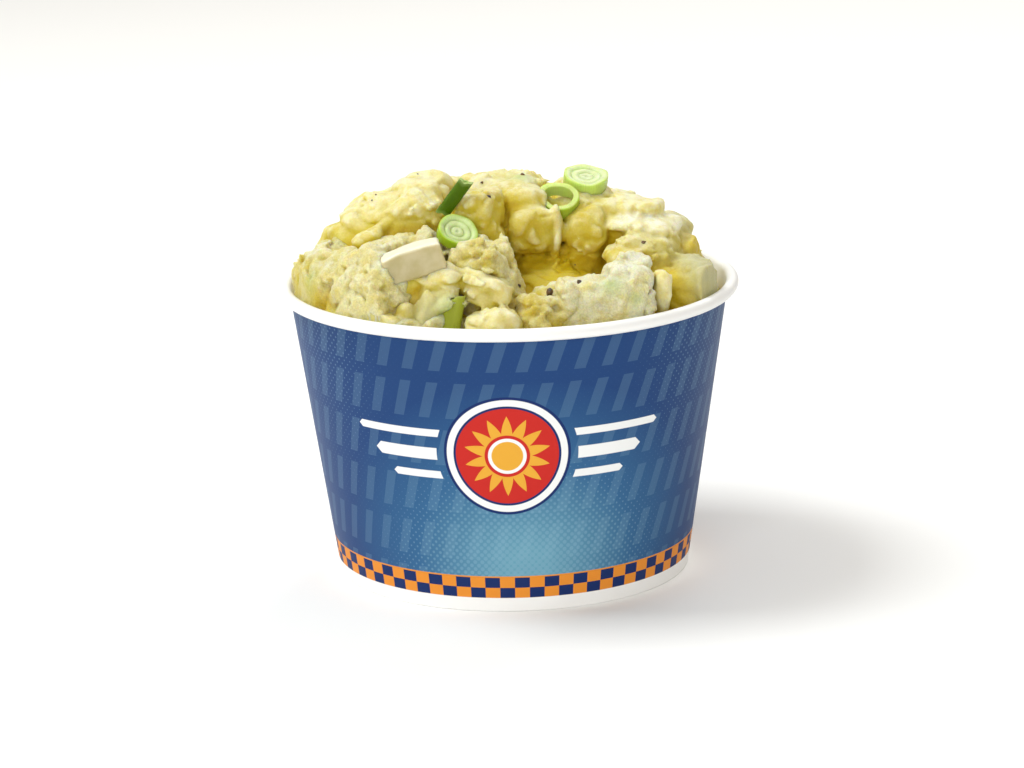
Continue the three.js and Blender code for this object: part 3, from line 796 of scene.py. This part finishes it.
def crumbled(grids):
    """The broken face of boiled potato: torn edges, and grains with creases between them."""
    band, points = near_skin(grids["field"], 3.4)
    torn = 1.0 * lattice_noise(points, 5.5, 21) + 0.75 * lattice_noise(points * (1, 1, 1.8), 2.6, 22)
    grains = 1.3 * cracks(points, 3.0, 23) + 0.8 * cracks(points, 1.5, 24) - 1.2
    loose = np.clip(0.9 + 1.1 * lattice_noise(points, 5.0, 26), 0.3, 1.5)
    splits = 0.9 * np.exp(-((lattice_noise(points * (1.5, 1.5, 1), 6.5, 27) / 0.14) ** 2))
    grids["field"][band] += torn + splits + loose * (grains + 0.3 * lattice_noise(points, 0.9, 25))


def bedded(grids):
    """The beds that the toppings press into the salad, a little inside their own skins."""
    for name, bed in BEDS.items():
        room = np.linalg.norm(bed["half"]) + 1
        part, x, y, z = along_axes(np.array(bed["at"]) - room, np.array(bed["at"]) + room)
        u, v, w = own_frame(bed, x, y, z)
        wide, deep, high = bed["half"]
        if name == "egg_white":
            sides = np.maximum(np.abs(u) - wide, np.abs(v) - deep)
        else:
            sides = (np.sqrt((u / wide) ** 2 + (v / deep) ** 2) - 1) * deep
        inside = np.maximum(sides, np.abs(w) - high)
        grids["field"][part] = np.maximum(grids["field"][part], -inside - 0.15)


RELIEF_ROOM = 1.2  # what the relief then takes off the sides
ROUNDING = 0.03  # how far the sides lean in, for each square millimetre of rise
SIDES_UNEVEN = 0.6
WALL_PRESS = 0.12  # how far the salad presses into the wall


def rounded_in(grids):
    """Above the rim, where no wall holds it, the salad's sides round in unevenly."""
    _, x, y, z = along_axes(GRID_LOW - 1, GRID_HIGH + 1)
    above = np.maximum(z - CURL_CENTRE[1], 0)
    reach = wall_inside(CURL_CENTRE[1]) + RELIEF_ROOM - ROUNDING * above**2 - SIDES_UNEVEN * bend[0]
    np.maximum(grids["field"], np.sqrt(x * x + y * y) - reach, out=grids["field"])


def trimmed_to_cup(grids):
    """The salad within the cup's wall, and cut level at the heap's foot."""
    _, x, y, z = along_axes(GRID_LOW - 1, GRID_HIGH + 1)
    out = np.sqrt(x * x + y * y)
    throat = wall_inside(np.minimum(z, CURL_CENTRE[1])) + WALL_PRESS
    np.maximum(grids["field"], out - throat, out=grids["field"])
    np.maximum(grids["field"], HEAP_FOOT - z + 0 * out, out=grids["field"])


def skin_of(field):
    """One closed skin of quads on the field's zero level, by one point in each mixed cell."""
    inside = field < 0
    shape = np.array(field.shape)
    corners = [np.array(corner) for corner in itertools.product((0, 1), repeat=3)]
    shifted = lambda corner: inside[tuple(slice(c, n - 1 + c) for c, n in zip(corner, shape))]
    total = sum(shifted(corner).astype(np.int8) for corner in corners)
    cells = np.argwhere((total > 0) & (total < 8))
    number = np.full(shape - 1, -1, dtype=np.int64)
    number[tuple(cells.T)] = np.arange(len(cells))
    values = [field[tuple((cells + corner).T)] for corner in corners]
    middle, crossings = np.zeros((len(cells), 3)), np.zeros(len(cells))
    for a, b in itertools.combinations(range(8), 2):
        if np.abs(corners[a] - corners[b]).sum() != 1:
            continue
        crossed = (values[a] < 0) != (values[b] < 0)
        along = values[a][crossed] / (values[a][crossed] - values[b][crossed])
        middle[crossed] += corners[a] + along[:, None] * (corners[b] - corners[a])
        crossings[crossed] += 1
    points = GRID_LOW + (cells + middle / crossings[:, None]) * GRID_STEP
    quads = []
    for axis in range(3):
        beside, beyond = (axis + 1) % 3, (axis + 2) % 3
        step = np.eye(3, dtype=int)
        here = inside[tuple(slice(0, n - 1) if i == axis else slice(1, n - 1) for i, n in enumerate(shape))]
        there = inside[tuple(slice(1, n) if i == axis else slice(1, n - 1) for i, n in enumerate(shape))]
        for leaving, order in ((here & ~there, 1), (~here & there, -1)):
            start = np.argwhere(leaving) + step[beside] + step[beyond]
            ring = [start, start - step[beside], start - step[beside] - step[beyond], start - step[beyond]]
            quads.append(np.stack([number[tuple(place.T)] for place in ring], -1)[:, ::order])
    return points, np.concatenate(quads)


def without_scraps(points, quads, fewest=400):
    """Drops loose scraps of skin that have fewer points than asked."""
    label = np.arange(len(points))
    edges = np.concatenate([quads[:, [0, 1]], quads[:, [1, 2]], quads[:, [2, 3]]])
    while True:
        low = np.minimum(label[edges[:, 0]], label[edges[:, 1]])
        before = label.copy()
        np.minimum.at(label, edges[:, 0], low)
        np.minimum.at(label, edges[:, 1], low)
        label = label[label]
        if (label == before).all():
            break
    large = np.bincount(label, minlength=len(points))[label] >= fewest
    number = np.cumsum(large) - 1
    return points[large], number[quads[large[quads[:, 0]]]]


def sampled(grid, points):
    """Values of a grid at points between its nodes."""
    cells = (points - GRID_LOW) / GRID_STEP
    base = np.clip(np.floor(cells).astype(int), 0, np.array(grid.shape) - 2)
    part = np.clip(cells - base, 0, 1)
    total = 0
    for corner in itertools.product((0, 1), repeat=3):
        weight = np.prod(np.where(corner, part, 1 - part), axis=1)
        total = total + weight * grid[tuple((base + corner).T)]
    return total


def crowding(field, reach):
    """The share of filled space within a reach in millimetres: half on a flat, more in a hollow."""
    return averaged(np.clip(0.5 - field / GRID_STEP, 0, 1).astype(np.float32), reach)


def drawn_down(points, quads):
    """The skin without its flat underside, carried down the wall to the base and closed there."""
    low = points[:, 2] < HEAP_FOOT + GRID_STEP / 2
    shown = quads[~low[quads].all(axis=1)]
    edges = np.concatenate([shown[:, [i, (i + 1) % 4]] for i in range(4)])
    both_ways = {(a, b) for a, b in edges.tolist()}
    rim = np.array([(a, b) for a, b in edges.tolist() if (b, a) not in both_ways])
    around = np.unique(rim)
    below = np.full(len(points), -1)
    below[around] = len(points) + np.arange(len(around))
    floor = BASE_HEIGHT + 0.05
    heading = np.arctan2(points[around, 1], points[around, 0])
    reach = wall_inside(floor) + 0.1
    foot = np.stack([reach * np.cos(heading), reach * np.sin(heading), np.full(len(around), floor)], -1)
    middle = len(points) + len(around)
    a, b = rim.T
    skirt = np.stack([b, a, below[a], below[b]], -1)
    cap = np.stack([below[b], below[a], np.full(len(rim), middle)], -1)
    used, places = np.unique(np.concatenate([shown.ravel(), skirt.ravel(), cap.ravel()]), return_inverse=True)
    every = np.concatenate([points, foot, [(0, 0, floor)]])[used]
    places = places.ravel()
    count = 4 * (len(shown) + len(skirt))
    return every, [places[:count].reshape(-1, 4), places[count:].reshape(-1, 3)]


def mesh_of(name, points, faces, **values):
    """A mesh from points in millimetres and arrays of quads or triangles, with values on its points."""
    mesh = bpy.data.meshes.new(name)
    corners = np.concatenate([part.ravel() for part in faces])
    sides = np.concatenate([np.full(len(part), part.shape[1]) for part in faces])
    mesh.vertices.add(len(points))
    mesh.vertices.foreach_set("co", (points * MM).ravel())
    mesh.loops.add(len(corners))
    mesh.loops.foreach_set("vertex_index", corners)
    mesh.polygons.add(len(sides))
    mesh.polygons.foreach_set("loop_start", np.concatenate([[0], np.cumsum(sides)[:-1]]))
    mesh.update(calc_edges=True)
    mesh.validate()
    mesh.shade_smooth()
    for title, value in values.items():
        mesh.attributes.new(title, "FLOAT", "POINT").data.foreach_set("value", value.astype(np.float32))
    return mesh


# Pickle relish and celery under the dressing, which show as faint green: middle and reach.
GREEN_SPOTS = [(-39.5, -20, 67.4, 2.6), (21, -37, 69.4, 2.2), (3, 3, 84, 2.6), (-12, -38, 65, 3.0)]
GREEN_SPOTS += [(26, -36, 66, 1.6), (-20, 28, 74, 2.6), (16, 30, 70, 2.6)]

MEALY = 0.5  # pieces rougher than this are broken potato
BEND = ((9, 1.0), (4.2, 0.6))  # over which length, and how far, the pieces are bent out of true
bend = []
for axis in range(3):
    bend.append(sum(far * grid_noise(size, 60 + 7 * axis + i) for i, (size, far) in enumerate(BEND)))
every_lump = [*back_lumps(), *front_lumps()]
dressed = body_of([lump for lump in every_lump if lump["rough"] < MEALY], mash_field(), 1.2)
nothing_yet = np.full(grid_shape, 20.0, np.float32)
mealy = body_of([lump for lump in every_lump if lump["rough"] >= MEALY], nothing_yet, 0.5)
for body in (dressed, mealy):
    rounded_in(body)
folded(dressed)
crumbled(mealy)
for body in (dressed, mealy):
    bedded(body)
    trimmed_to_cup(body)
whole_field = np.minimum(dressed["field"], mealy["field"])
# How filled the space round each point is, near and farther off: the potato's colour uses it to paint shade
# in pockets and hollows and to keep the pale coat out of hollows.
POCKET_REACH, HOLLOW_REACH = 1.5, 5.5
pockets, hollows = crowding(whole_field, POCKET_REACH), crowding(whole_field, HOLLOW_REACH)


def thinned(points, faces):
    """The skin in triangles, with fewer where it is flat."""
    count = sum(len(part) * (part.shape[1] - 2) for part in faces)
    if count <= MOST_TRIANGLES:
        return points, faces
    full = link("full_skin", mesh_of("full_skin", points, faces))
    thinning = full.modifiers.new("thinning", "DECIMATE")
    thinning.ratio = MOST_TRIANGLES / count
    thinning.use_collapse_triangulate = True
    bpy.context.view_layer.update()
    fewer = bpy.data.meshes.new_from_object(full.evaluated_get(bpy.context.evaluated_depsgraph_get()))
    kept = np.zeros(3 * len(fewer.vertices), dtype=np.float32)
    fewer.vertices.foreach_get("co", kept)
    corners = np.zeros(3 * len(fewer.polygons), dtype=np.int32)
    fewer.polygons.foreach_get("vertices", corners)
    bpy.data.objects.remove(full)
    return kept.reshape(-1, 3).astype(float) / MM, [corners.reshape(-1, 3)]


def potato_mesh(name, body, points, faces):
    points, faces = thinned(points, faces)
    green = np.zeros(len(points))
    for *spot, reach in GREEN_SPOTS:
        green = np.maximum(green, np.exp(-np.sum((points - spot) ** 2, axis=1) / reach**2))
    grids = dict(gold=body["gold"], clear=body["clear"], pocket=pockets, hollow=hollows)
    values = {title: sampled(grid, points) for title, grid in grids.items()}
    return mesh_of(name, points, faces, green=green, **values)


dressed_points, dressed_faces = drawn_down(*without_scraps(*skin_of(dressed["field"])))
dressed_mesh = potato_mesh("dressed_potato", dressed, dressed_points, dressed_faces)
mealy_points, mealy_faces = without_scraps(*skin_of(mealy["field"]))
mealy_mesh = potato_mesh("mealy_potato", mealy, mealy_points, [mealy_faces])


def attribute(tree, name):
    node = tree.nodes.new("ShaderNodeAttribute")
    node.attribute_name = name
    return node.outputs["Fac"]


def between(tree, value, low, high):
    """0 at low, 1 at high, and smooth between them."""
    node = tree.nodes.new("ShaderNodeMapRange")
    node.interpolation_type = "SMOOTHSTEP"
    settle(node, {"From Min": low, "From Max": high})
    tree.links.new(value, node.inputs["Value"])
    return node.outputs["Result"]


def noise(tree, scale, detail=3.0, roughness=0.55):
    place = tree.nodes.new("ShaderNodeTexCoord")
    node = tree.nodes.new("ShaderNodeTexNoise")
    settle(node, {"Scale": scale, "Detail": detail, "Roughness": roughness})
    tree.links.new(place.outputs["Object"], node.inputs["Vector"])
    return node.outputs["Fac"]


def upness(tree):
    """How far the surface faces upwards, from -1 to 1."""
    facing = tree.nodes.new("ShaderNodeNewGeometry")
    split = tree.nodes.new("ShaderNodeSeparateXYZ")
    tree.links.new(facing.outputs["Normal"], split.inputs[0])
    return split.outputs["Z"]


# The dressing's colour, also used as painted light on the tops.
DRESSING_AND_LIT_TOP = (0.76, 0.745, 0.53, 1)
THICK_DRESSING = (0.83, 0.83, 0.67, 1)
POTATO_PALE = (0.7, 0.61, 0.22, 1)
POTATO_GOLD = (0.57, 0.46, 0.035, 1)
# The gold of potato in painted shade, at the deep end of the ramp.
POTATO_GOLD_IN_SHADE = (0.58, 0.41, 0.007, 1)
POTATO_CLEAR = (0.43, 0.42, 0.24, 1)
RELISH_GREEN = (0.42, 0.52, 0.2, 1)
# The sum of bareness and painted shade at which the gold is deepest.
DEEPEST_GOLD_AT = 2.4  # where the potato is deepest gold


def potato_colour_group():
    """Potato, pale to deep gold by how bare it is and by painted shade, with dressing on its tops and edges
    and painted light on its tops.
    """
    # The first input scales the pale coat, which is dressing and painted light on the tops.
    group, inside, outside = node_group("potato_colour", ["Coat_and_top_light", "Spread", "Grain"], ["Color"])
    plus, minus, times, times_plus = maths(group)
    traits = ("gold", "clear", "pocket", "hollow", "green")
    gold, clear, pocket, hollow, relish = (attribute(group, name) for name in traits)
    cloud = between(group, noise(group, 190, 4, 0.65), 0.3, 0.7)
    patches = times_plus(cloud, 0.8, -0.4)
    # Painted shade: the gold deepens in small pockets, in hollows and on faces turned down.
    pocket_shade = times(between(group, pocket, 0.48, 0.7), 0.8)
    shaded = times(between(group, hollow, 0.48, 0.74), 1.3)
    facing_up = upness(group)
    below = times(between(group, facing_up, 0.35, -0.6), 0.7)
    bare_and_shaded = plus(gold, patches)
    for more in (pocket_shade, shaded, below):
        bare_and_shaded = plus(bare_and_shaded, more)
    bare_and_shaded = times(bare_and_shaded, 1 / DEEPEST_GOLD_AT, clamp=True)
    # The deepest stop is the colour of potato in painted shade.
    colour = ramp(group, bare_and_shaded, (0.0, POTATO_PALE), (0.42, POTATO_GOLD), (1.0, POTATO_GOLD_IN_SHADE))
    colour = colour_mix(group, times(clear, 0.85), colour, POTATO_CLEAR)
    # The pale coat: painted light on faces turned up, dressing on outer edges and, by the spread, all over;
    # it is kept out of hollows, which leaves painted shade there.
    top_light = between(group, facing_up, 0.2, 0.95)
    edge = between(group, pocket, 0.5, 0.34)
    out_of_hollow_shade = between(group, hollow, 0.62, 0.42)
    coat = times(arithmetic(group, "MAXIMUM", top_light, edge), out_of_hollow_shade)
    coat = arithmetic(group, "MAXIMUM", coat, inside.outputs["Spread"])
    coat = times(coat, between(group, gold, 1.9, 0.5))
    coat = arithmetic(group, "MAXIMUM", coat, times(gold, -1.0))
    coat = times(coat, times_plus(clear, -0.7, 1.0))
    cloud = between(group, noise(group, 260, 4, 0.7), 0.36, 0.64)
    uneven = times_plus(cloud, 0.8, 0.2)
    coat = times(coat, uneven)
    coat = times(coat, inside.outputs["Coat_and_top_light"])
    # Dressing colour where the coat lies, which on the tops is also painted light.
    colour = colour_mix(group, coat, colour, DRESSING_AND_LIT_TOP)
    thick = times(between(group, gold, -0.1, -1.0), uneven)
    colour = colour_mix(group, thick, colour, THICK_DRESSING)
    colour = colour_mix(group, times(relish, 0.7), colour, RELISH_GREEN)
    grain = minus(noise(group, 2400, 2, 0.8), 0.5)
    speckle = times_plus(grain, inside.outputs["Grain"], 1.0)
    group.links.new(tinted(group, colour, speckle), outside.inputs["Color"])
    return group


potato_colour = potato_colour_group()


def potato_finish(name, coat_and_top_light, spread, grain, scales, depth, roughness, gloss):
    """Dressing and painted light on top, dressing all over, and grain, for the colour; two noise scales for
    the bump.
    """
    material, tree, shader = finish_of(name)
    colour = use_group(tree, potato_colour, {"Coat_and_top_light": coat_and_top_light, "Spread": spread, "Grain": grain})
    tree.links.new(colour.outputs["Color"], shader.inputs["Base Color"])
    coarse, fine = (noise(tree, scale, 3, 0.7) for scale in scales)
    relief(tree, shader, arithmetic(tree, "MULTIPLY_ADD", fine, 0.6, coarse), 0.8, depth)
    settle(shader, {"Roughness": roughness, "Specular IOR Level": gloss, "Subsurface Weight": 0.7})
    settle(shader, {"Subsurface Radius": (1.0, 0.72, 0.16), "Subsurface Scale": 2.2 * MM})
    return material


dressed_finish = potato_finish("dressed_potato", 0.8, 0.1, 0.25, (600, 1500), 0.3 * MM, 0.42, 0.16)
mealy_finish = potato_finish("mealy_potato", 0.95, 0.6, 0.6, (1100, 2600), 0.8 * MM, 0.45, 0.22)
for mesh, finish in ((dressed_mesh, dressed_finish), (mealy_mesh, mealy_finish)):
    potato = link(mesh.name, mesh, finish)
    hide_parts("potato_salad")
    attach(potato, "root")


# The egg white: a piece chopped from a boiled egg, with knife-cut faces, soft edges and
# one side a little hollow where the yolk was. Smooth and moist.
def placed(points, bed):
    roll, tilt, heading = (math.radians(bed[name]) for name in ("roll", "tilt", "heading"))
    turn = Matrix.Rotation(heading, 3, "Z") @ Matrix.Rotation(tilt, 3, "X") @ Matrix.Rotation(roll, 3, "Y")
    return points @ np.array(turn).T + bed["at"]


EGG_EDGE = 0.7
EGG_BOW = 0.5
EGG_CROWDING = 0.94 * math.pi / 2  # the points are closer near the edges
egg_block = bmesh.new()
bmesh.ops.create_cube(egg_block, size=2)
bmesh.ops.subdivide_edges(egg_block, edges=egg_block.edges[:], cuts=27, use_grid_fill=True)
egg_points = np.array([point.co for point in egg_block.verts])
egg_faces = np.array([[point.index for point in face.verts] for face in egg_block.faces])
egg_block.free()
half = np.array(BEDS["egg_white"]["half"])
egg_points = np.sin(egg_points * EGG_CROWDING) / math.sin(EGG_CROWDING) * half
core = np.clip(egg_points, EGG_EDGE - half, half - EGG_EDGE)
outwards = egg_points - core
outwards /= np.maximum(np.linalg.norm(outwards, axis=1, keepdims=True), EGG_EDGE)
egg_points = core + outwards * EGG_EDGE
crown = 1 - (egg_points[:, 0] / half[0]) ** 2
egg_points[:, 1] += EGG_BOW * (crown - 0.5)
egg_points[:, 2] += 0.35 * crown * (egg_points[:, 2] / half[2])
egg_points += 0.12 * np.stack([lattice_noise(egg_points, 2.6, 200 + i) for i in range(3)], -1)
egg_mesh = mesh_of("egg_white", placed(egg_points, BEDS["egg_white"]), [egg_faces])


def egg_finish():
    material, tree, shader = finish_of("boiled_egg_white")
    # Painted light and shade: faces turned up are lighter, the sides a darker tan with a random cloud, as
    # light falls from above.
    cloud = between(tree, noise(tree, 260, 3), 0.3, 0.7)
    colour = colour_mix(tree, cloud, (0.48, 0.41, 0.19, 1), (0.58, 0.51, 0.3, 1))
    colour = colour_mix(tree, between(tree, upness(tree), 0.1, 0.8), colour, (0.8, 0.77, 0.6, 1))
    tree.links.new(colour, shader.inputs["Base Color"])
    relief(tree, shader, noise(tree, 900, 3), 0.35, 0.12 * MM)
    settle(shader, {"Roughness": 0.3, "Subsurface Weight": 0.7})
    settle(shader, {"Subsurface Radius": (1.0, 0.85, 0.6), "Subsurface Scale": 1.6 * MM})
    return material


egg_white = link("egg_white", egg_mesh, egg_finish())
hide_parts("egg_white_piece")
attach(egg_white, "root")


# The green onion: the pale stem is cut in slices of thin coats, one inside the other, and
# the dark hollow leaf in short lengths. Both are veined along the stem and glossy.
def onion_veins_group():
    """Fine veins along the stem: a brightness round 1 and a height for bump."""
    group, inside, outside = node_group("onion_veins", ["Density"], ["Brightness", "Height"])
    plus, _, times, times_plus = maths(group)
    veins = group.nodes.new("ShaderNodeTexNoise")
    veins.noise_dimensions = "1D"
    settle(veins, {"Scale": 1.0, "Detail": 2.0})
    group.links.new(times(attribute(group, "turn"), inside.outputs["Density"]), veins.inputs["W"])
    both = plus(times(veins.outputs["Fac"], 0.6), times(noise(group, 500, 2), 0.4))
    group.links.new(times_plus(both, 0.8, 0.6), outside.inputs["Brightness"])
    group.links.new(both, outside.inputs["Height"])
    return group


onion_veins = onion_veins_group()


def onion_finish(name, skin, flesh, heart, depth, roughness):
    """Onion whose outer coat is green, whose cut coats are pale and whose heart is between them."""
    material, tree, shader = finish_of(name)
    coat, cut, ridge = (attribute(tree, title) for title in ("coat", "cut", "ridge"))
    colour = colour_mix(tree, between(tree, coat, 0.0, 0.75), heart, flesh)
    colour = colour_mix(tree, between(tree, coat, 0.72, 0.98), colour, skin)
    _, _, times, times_plus = maths(tree)
    colour = colour_mix(tree, times(cut, times_plus(coat, -0.55, 0.85)), colour, flesh)
    colour = colour_mix(tree, times(ridge, 0.45), colour, skin)
    veins = use_group(tree, onion_veins, {"Density": 34})
    tree.links.new(tinted(tree, colour, veins.outputs["Brightness"]), shader.inputs["Base Color"])
    relief(tree, shader, veins.outputs["Height"], 0.5, 0.15 * MM)
    settle(shader, {"Roughness": roughness, "Specular IOR Level": 0.15, "Subsurface Weight": 0.75})
    settle(shader, {"Subsurface Radius": (0.7, 1.0, 0.25), "Subsurface Scale": depth})
    return material


leaf_green = onion_finish(
    "leaf_green", (0.075, 0.15, 0.001, 1), (0.45, 0.56, 0.2, 1), (0.24, 0.36, 0.04, 1), 0.5 * MM, 0.3
)
fresh_green = onion_finish(
    "fresh_green", (0.4, 0.52, 0.05, 1), (0.6, 0.7, 0.24, 1), (0.52, 0.62, 0.16, 1), 1.2 * MM, 0.26
)
olive_green = onion_finish(
    "olive_green", (0.34, 0.38, 0.03, 1), (0.5, 0.53, 0.18, 1), (0.36, 0.4, 0.08, 1), 0.9 * MM, 0.3
)
stem_pale = onion_finish(
    "stem_pale", (0.36, 0.52, 0.03, 1), (0.6, 0.7, 0.36, 1), (0.62, 0.66, 0.44, 1), 1.6 * MM, 0.24
)
stem_light = onion_finish(
    "stem_light", (0.5, 0.63, 0.15, 1), (0.66, 0.74, 0.42, 1), (0.68, 0.73, 0.48, 1), 2.0 * MM, 0.26
)
ONION_TURNS = 96


def onion_mesh(name, bed, profile, coat, cut, ridge, slant=0.0, uneven=0.09, seed=0):
    """An onion piece turned round its stem: profile in shares of its half width and in millimetres."""
    turns = np.arange(ONION_TURNS) * 2 * math.pi / ONION_TURNS
    reach, rise = np.array(profile).T
    swell = 1 + uneven * (0.6 * np.sin(2 * turns + seed) + 0.4 * np.sin(3 * turns + 2.3 * seed))[:, None]
    x = bed["half"][0] * reach * np.cos(turns)[:, None] * swell
    y = bed["half"][1] * reach * np.sin(turns)[:, None] * swell
    lift = (0.2 * np.sin(2 * turns + 1.7 * seed) + 0.12 * np.sin(5 * turns + seed))[:, None] * reach
    z = rise + 0 * x + slant * x / bed["half"][0] + lift * np.sign(rise)
    points = np.stack([x, y, z], -1).reshape(-1, 3)
    rows = len(profile)
    i, j = np.meshgrid(np.arange(ONION_TURNS), np.arange(rows), indexing="ij")
    after, above = (i + 1) % ONION_TURNS, (j + 1) % rows
    corners = [i * rows + j, after * rows + j, after * rows + above, i * rows + above]
    faces = np.stack(corners, -1).reshape(-1, 4)
    per_point = lambda values: np.tile(values, ONION_TURNS)
    values = dict(coat=per_point(coat), cut=per_point(cut), ridge=per_point(ridge))
    values["turn"] = np.repeat(np.abs(turns - math.pi), rows)
    return mesh_of(name, placed(points, bed), [faces], **values)


def slice_mesh(name, bed, coats, groove, dish, seed):
    """A slice of coats: each coat's cut edge is rounded, with a groove between it and the next."""
    thick = bed["half"][2]
    steps = np.linspace(0, coats, 9 * coats + 1)[1:-1]
    share = steps / coats
    grooved = np.abs(np.sin(steps * math.pi)) ** 0.5
    face = thick - groove * (1 - grooved) - dish * (1 - share**2)
    top = list(zip(share, face))
    wall = [(1.0 - 0.02 * (z / thick) ** 2, z) for z in np.linspace(thick - 0.25, 0.25 - thick, 7)]
    under = [(r, -z) for r, z in reversed(top)]
    profile = [(0.004, top[0][1]), *top, *wall, *under, (0.004, -top[0][1])]
    cut = np.array([1.0] * (len(top) + 1) + [0.0] * len(wall) + [1.0] * (len(top) + 1))
    coat = np.array([r for r, _ in profile])
    ridge = np.concatenate([[0], 1 - grooved, np.zeros(len(wall)), (1 - grooved)[::-1], [0]])
    return onion_mesh(name, bed, profile, coat, cut, ridge, seed=seed)


def tube_mesh(name, bed, bore, slant, uneven, seed):
    """A hollow length of one coat, with softly rounded cut edges."""
    long, edge = bed["half"][2], 0.16
    rounding = np.radians(np.linspace(0, 90, 5))
    outer = [(1 - 0.05 * (1 - math.cos(a)), long - edge * (1 - math.sin(a))) for a in rounding]
    inner = [(bore + 0.05 * (1 - math.cos(a)), long - edge * (1 - math.sin(a))) for a in rounding[::-1]]
    side = [(1.0, z) for z in np.linspace(edge - long, long - edge, 12)[1:-1]]
    bore_side = [(bore, z) for z in np.linspace(long - edge, edge - long, 12)[1:-1]]
    lower_outer = [(r, -z) for r, z in reversed(outer)]
    lower_inner = [(r, -z) for r, z in reversed(inner)]
    profile = [*side, *outer, *inner, *bore_side, *lower_inner, *lower_outer]
    coat = np.array([(r - bore) / (1 - bore) for r, _ in profile])
    cut = np.array([0.0] * len(side) + [1.0] * 10 + [0.0] * len(bore_side) + [1.0] * 10)
    return onion_mesh(name, bed, profile, coat, cut, 0 * cut, slant=slant, uneven=uneven, seed=seed)


TUBE_SHAPES = dict(
    stalk=dict(bore=0.4, slant=0.35, uneven=0.1, seed=1),
    front_leaf=dict(bore=0.48, slant=0.7, uneven=0.14, seed=2),
    top_ring=dict(bore=0.72, slant=0.0, uneven=0.13, seed=3),
)
SLICE_SHAPES = dict(
    front_slice=dict(coats=3, groove=0.4, dish=0.8, seed=4),
    top_slice=dict(coats=3, groove=0.35, dish=0.6, seed=5),
)
ONION_PIECES = [
    ("stalk", "onion_leaf_piece", "onion_green", leaf_green),
    ("front_leaf", "onion_leaf_front", "onion_green", olive_green),
    ("top_ring", "onion_ring_top", "onion_pale", fresh_green),
    ("front_slice", "onion_slice_front", "onion_pale", stem_pale),
    ("top_slice", "onion_slice_top", "onion_pale", stem_light),
]
for title, node, slot, finish in ONION_PIECES:
    maker, shapes = (tube_mesh, TUBE_SHAPES) if title in TUBE_SHAPES else (slice_mesh, SLICE_SHAPES)
    onion_piece = link("onion_" + title, maker("onion_" + title, BEDS[title], **shapes[title]), finish)
    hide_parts(node)
    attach(onion_piece, "root")


# Cracked black pepper and a few mustard seeds, stuck in the dressing: dark, angular
# chips under 2 mm across. [x, y, across] of the larger ones, dropped onto the salad.
PEPPER = [(-4, -12, 1.3), (-7, -19.5, 1.2), (8.5, -33, 1.7), (14.5, -33, 1.3), (2, -26, 1.1), (-15, -22, 1.2)]
PEPPER += [(28.5, -14, 1.3), (3.5, 4, 1.2), (-12, 20, 1.3), (10, 24, 1.3), (26, 20, 1.2), (-28, 14, 1.2)]
FINE_PEPPER = 22
FINE_PEPPER_ABOVE = 66  # where the rest of it shows
pepper_rng = np.random.default_rng(5)
every_point = np.concatenate([dressed_points, mealy_points])
tops = every_point[every_point[:, 2] > FINE_PEPPER_ABOVE]
dust = tops[pepper_rng.choice(len(tops), FINE_PEPPER, replace=False)]
chips = [(x, y, None, across) for x, y, across in PEPPER]
chips += [(x, y, z, across) for (x, y, z), across in zip(dust, pepper_rng.uniform(0.25, 0.6, FINE_PEPPER))]
pepper_mesh = bmesh.new()
for x, y, z, across in chips:
    if z is None:
        column = whole_field[np.searchsorted(grid_axes[0], x), np.searchsorted(grid_axes[1], y)]
        z = grid_axes[2][np.nonzero(column < 0)[0][-1]] + 0.3 * GRID_STEP
    grown = bmesh.ops.create_icosphere(pepper_mesh, subdivisions=2, radius=across / 2 * MM)["verts"]
    stretch = Matrix.Diagonal((*pepper_rng.uniform(0.7, 1.2, 3), 1))
    spin = Matrix.Rotation(pepper_rng.uniform(0, 6.28), 4, Vector(pepper_rng.normal(size=3)).normalized())
    for point in grown:
        point.co *= 1 + 0.22 * pepper_rng.uniform(-1, 1)
        point.co = Matrix.Translation(Vector((x, y, z)) * MM) @ spin @ stretch @ point.co
chip_mesh = bpy.data.meshes.new("pepper")
pepper_mesh.to_mesh(chip_mesh)
pepper_mesh.free()


def pepper_finish():
    material, tree, shader = finish_of("cracked_pepper")
    husk = between(tree, noise(tree, 1500, 3), 0.35, 0.7)
    colour = colour_mix(tree, husk, (0.02, 0.011, 0.004, 1), (0.16, 0.075, 0.022, 1))
    tree.links.new(colour, shader.inputs["Base Color"])
    relief(tree, shader, noise(tree, 2600, 3), 0.6, 0.1 * MM)
    settle(shader, {"Roughness": 0.5})
    return material


pepper = link("pepper", chip_mesh, pepper_finish())
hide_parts("potato_salad")
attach(pepper, "root")
